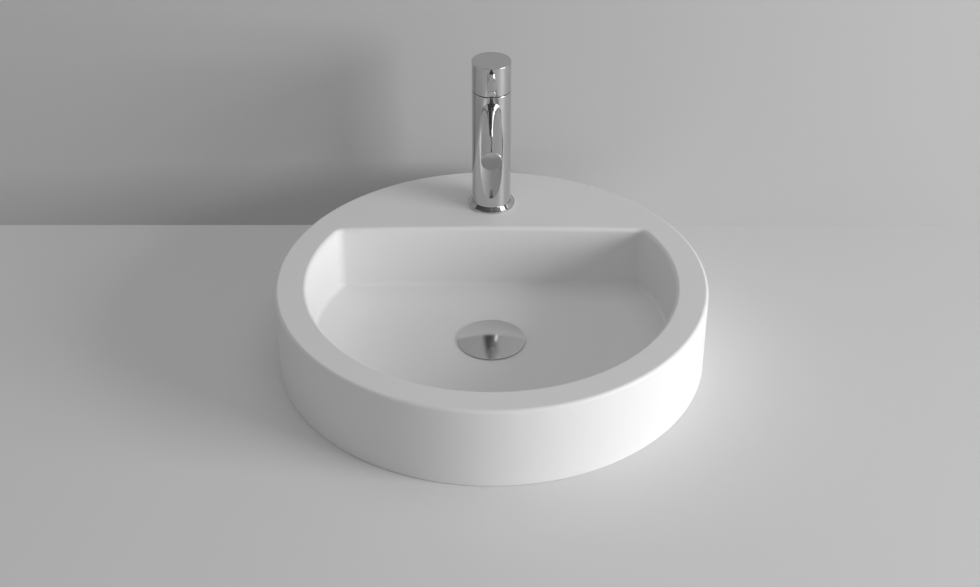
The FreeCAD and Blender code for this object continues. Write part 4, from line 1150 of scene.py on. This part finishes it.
class BASIN_OT_make_fixing(PieceOperator, bpy.types.Operator):
    """Make the stud and the nut that hold the mixer down"""

    bl_idname = "basin.make_fixing"
    bl_label = "Make fixing"

    RIDGE = 1.2           # the swept ridge over the thread's depth

    def execute(self, context):
        sizes = context.scene.waste_sizes
        low, top = span("fixing_stud")
        radius = reach_of("fixing_stud")
        root = radius - sizes.stud_depth
        shank = turned([(0, low), (root, low, root / 8), (root, top, root / 8), (0, top)],
                       at("fixing_stud"), count=SMALL_SEGMENTS)
        section = sizes.stud_depth * self.RIDGE
        ridge = coil("fixing_stud", radius - section, sizes.stud_pitch, section, low, top, sides=4, points=36)
        deliver("threaded_stud", merged(shank, ridge), "fixing_stud")
        deliver("stud_nut", nut_mesh("fixing_nut", radius + sizes.wire / 8), "fixing_nut")
        return {"FINISHED"}


class BASIN_OT_smooth_inner_parts(PieceOperator, bpy.types.Operator):
    """Give the remaining seals, washers and cartridge parts smooth meshes"""

    bl_idname = "basin.smooth_inner_parts"
    bl_label = "Smooth inner parts"

    NODES = (
        "waste_flange_seal", "waste_under_seal", "waste_slip_washer", "waste_click_housing", "waste_plunger",
        "waste_plug", "waste_plug_seal", "base_seal", "spout_seal", "aerator_housing", "aerator_seal",
        "rubber_horseshoe", "steel_horseshoe", "cartridge_base", "fixed_disc", "port_seals",
        "cartridge_housing", "cartridge_nut", "moving_disc", "disc_carrier", "turning_collar", "pivot_pin",
        "handle_stem", "grub_screw",
    )

    def execute(self, context):
        for node in self.NODES:
            deliver(f"{node}_part", smooth_copy(node), node)
        return {"FINISHED"}


class BASIN_OT_set_stage(PieceOperator, bpy.types.Operator):
    """Set the floor, the backdrop, the lights and the camera"""

    bl_idname = "basin.set_stage"
    bl_label = "Set stage"

    def execute(self, context):
        scene = context.scene
        studio = scene.studio
        tints = scene.finish_colours
        side, wall = STAGE_REACH, studio.wall_line
        sheet("studio_floor", [(-side, -side, 0), (side, -side, 0), (side, side, 0), (-side, side, 0)],
              stage_paint("floor_paint", tints.floor, roughness=0.58, gloss=0.5))
        sheet("studio_backdrop", [(-side, wall, 0), (side, wall, 0), (side, wall, side), (-side, wall, side)],
              stage_paint("backdrop_paint", tints.backdrop, see_through=True), "diffuse", "shadow")
        for name, (place, target, size, rays) in LAMPS.items():
            hide(lamp(f"{name}_light", place, target, size, getattr(studio, name)), rays)
        edge = ((-CEILING_REACH, CEILING_FRONT), (-CEILING_REACH, CEILING_REAR),
                (CEILING_REACH, CEILING_REAR), (CEILING_REACH, CEILING_FRONT))
        sheet("studio_ceiling", level(edge, CEILING_HEIGHT), stage_paint("ceiling_paint", tints.ceiling),
              "camera", "diffuse", "shadow")
        surround(scene, studio)
        camera = bpy.data.cameras.new("camera")
        camera.sensor_width = SENSOR_WIDTH
        camera.lens = studio.lens
        eye = linked("camera", camera)
        eye.location = CAMERA_PLACE
        eye.rotation_euler = (CAMERA_TILT, 0, 0)
        scene.camera = eye
        scene.view_settings.view_transform = "Standard"
        return {"FINISHED"}


OPERATORS = (
    BASIN_OT_mix_finishes, BASIN_OT_cast_basin, BASIN_OT_turn_column, BASIN_OT_make_spout,
    BASIN_OT_make_handle, BASIN_OT_make_waste, BASIN_OT_make_fixing, BASIN_OT_smooth_inner_parts,
    BASIN_OT_set_stage,
)


class BASIN_PT_sidebar(bpy.types.Panel):
    """Operators and sizes of the basin"""

    bl_idname = "BASIN_PT_sidebar"
    bl_label = "Countertop basin"
    bl_space_type = "VIEW_3D"
    bl_region_type = "UI"
    bl_category = "Basin"

    def draw(self, context):
        column = self.layout.column()
        for operator in OPERATORS:
            column.operator(operator.bl_idname)
        for group, kind in GROUPS.items():
            box = column.box()
            for name in kind.__annotations__:
                box.prop(getattr(context.scene, group), name)


CLASSES = (*GROUPS.values(), *OPERATORS, BASIN_PT_sidebar)


def register():
    for item in CLASSES:
        bpy.utils.register_class(item)
    for name, kind in GROUPS.items():
        setattr(bpy.types.Scene, name, PointerProperty(type=kind))


def unregister():
    for name in GROUPS:
        delattr(bpy.types.Scene, name)
    for item in reversed(CLASSES):
        bpy.utils.unregister_class(item)


def main():
    register()
    bpy.ops.basin.mix_finishes()
    bpy.ops.basin.cast_basin()
    bpy.ops.basin.turn_column()
    bpy.ops.basin.make_spout()
    bpy.ops.basin.make_handle()
    bpy.ops.basin.make_waste()
    bpy.ops.basin.make_fixing()
    bpy.ops.basin.smooth_inner_parts()
    bpy.ops.basin.set_stage()
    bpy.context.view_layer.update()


if __name__ == "__main__":
    main()
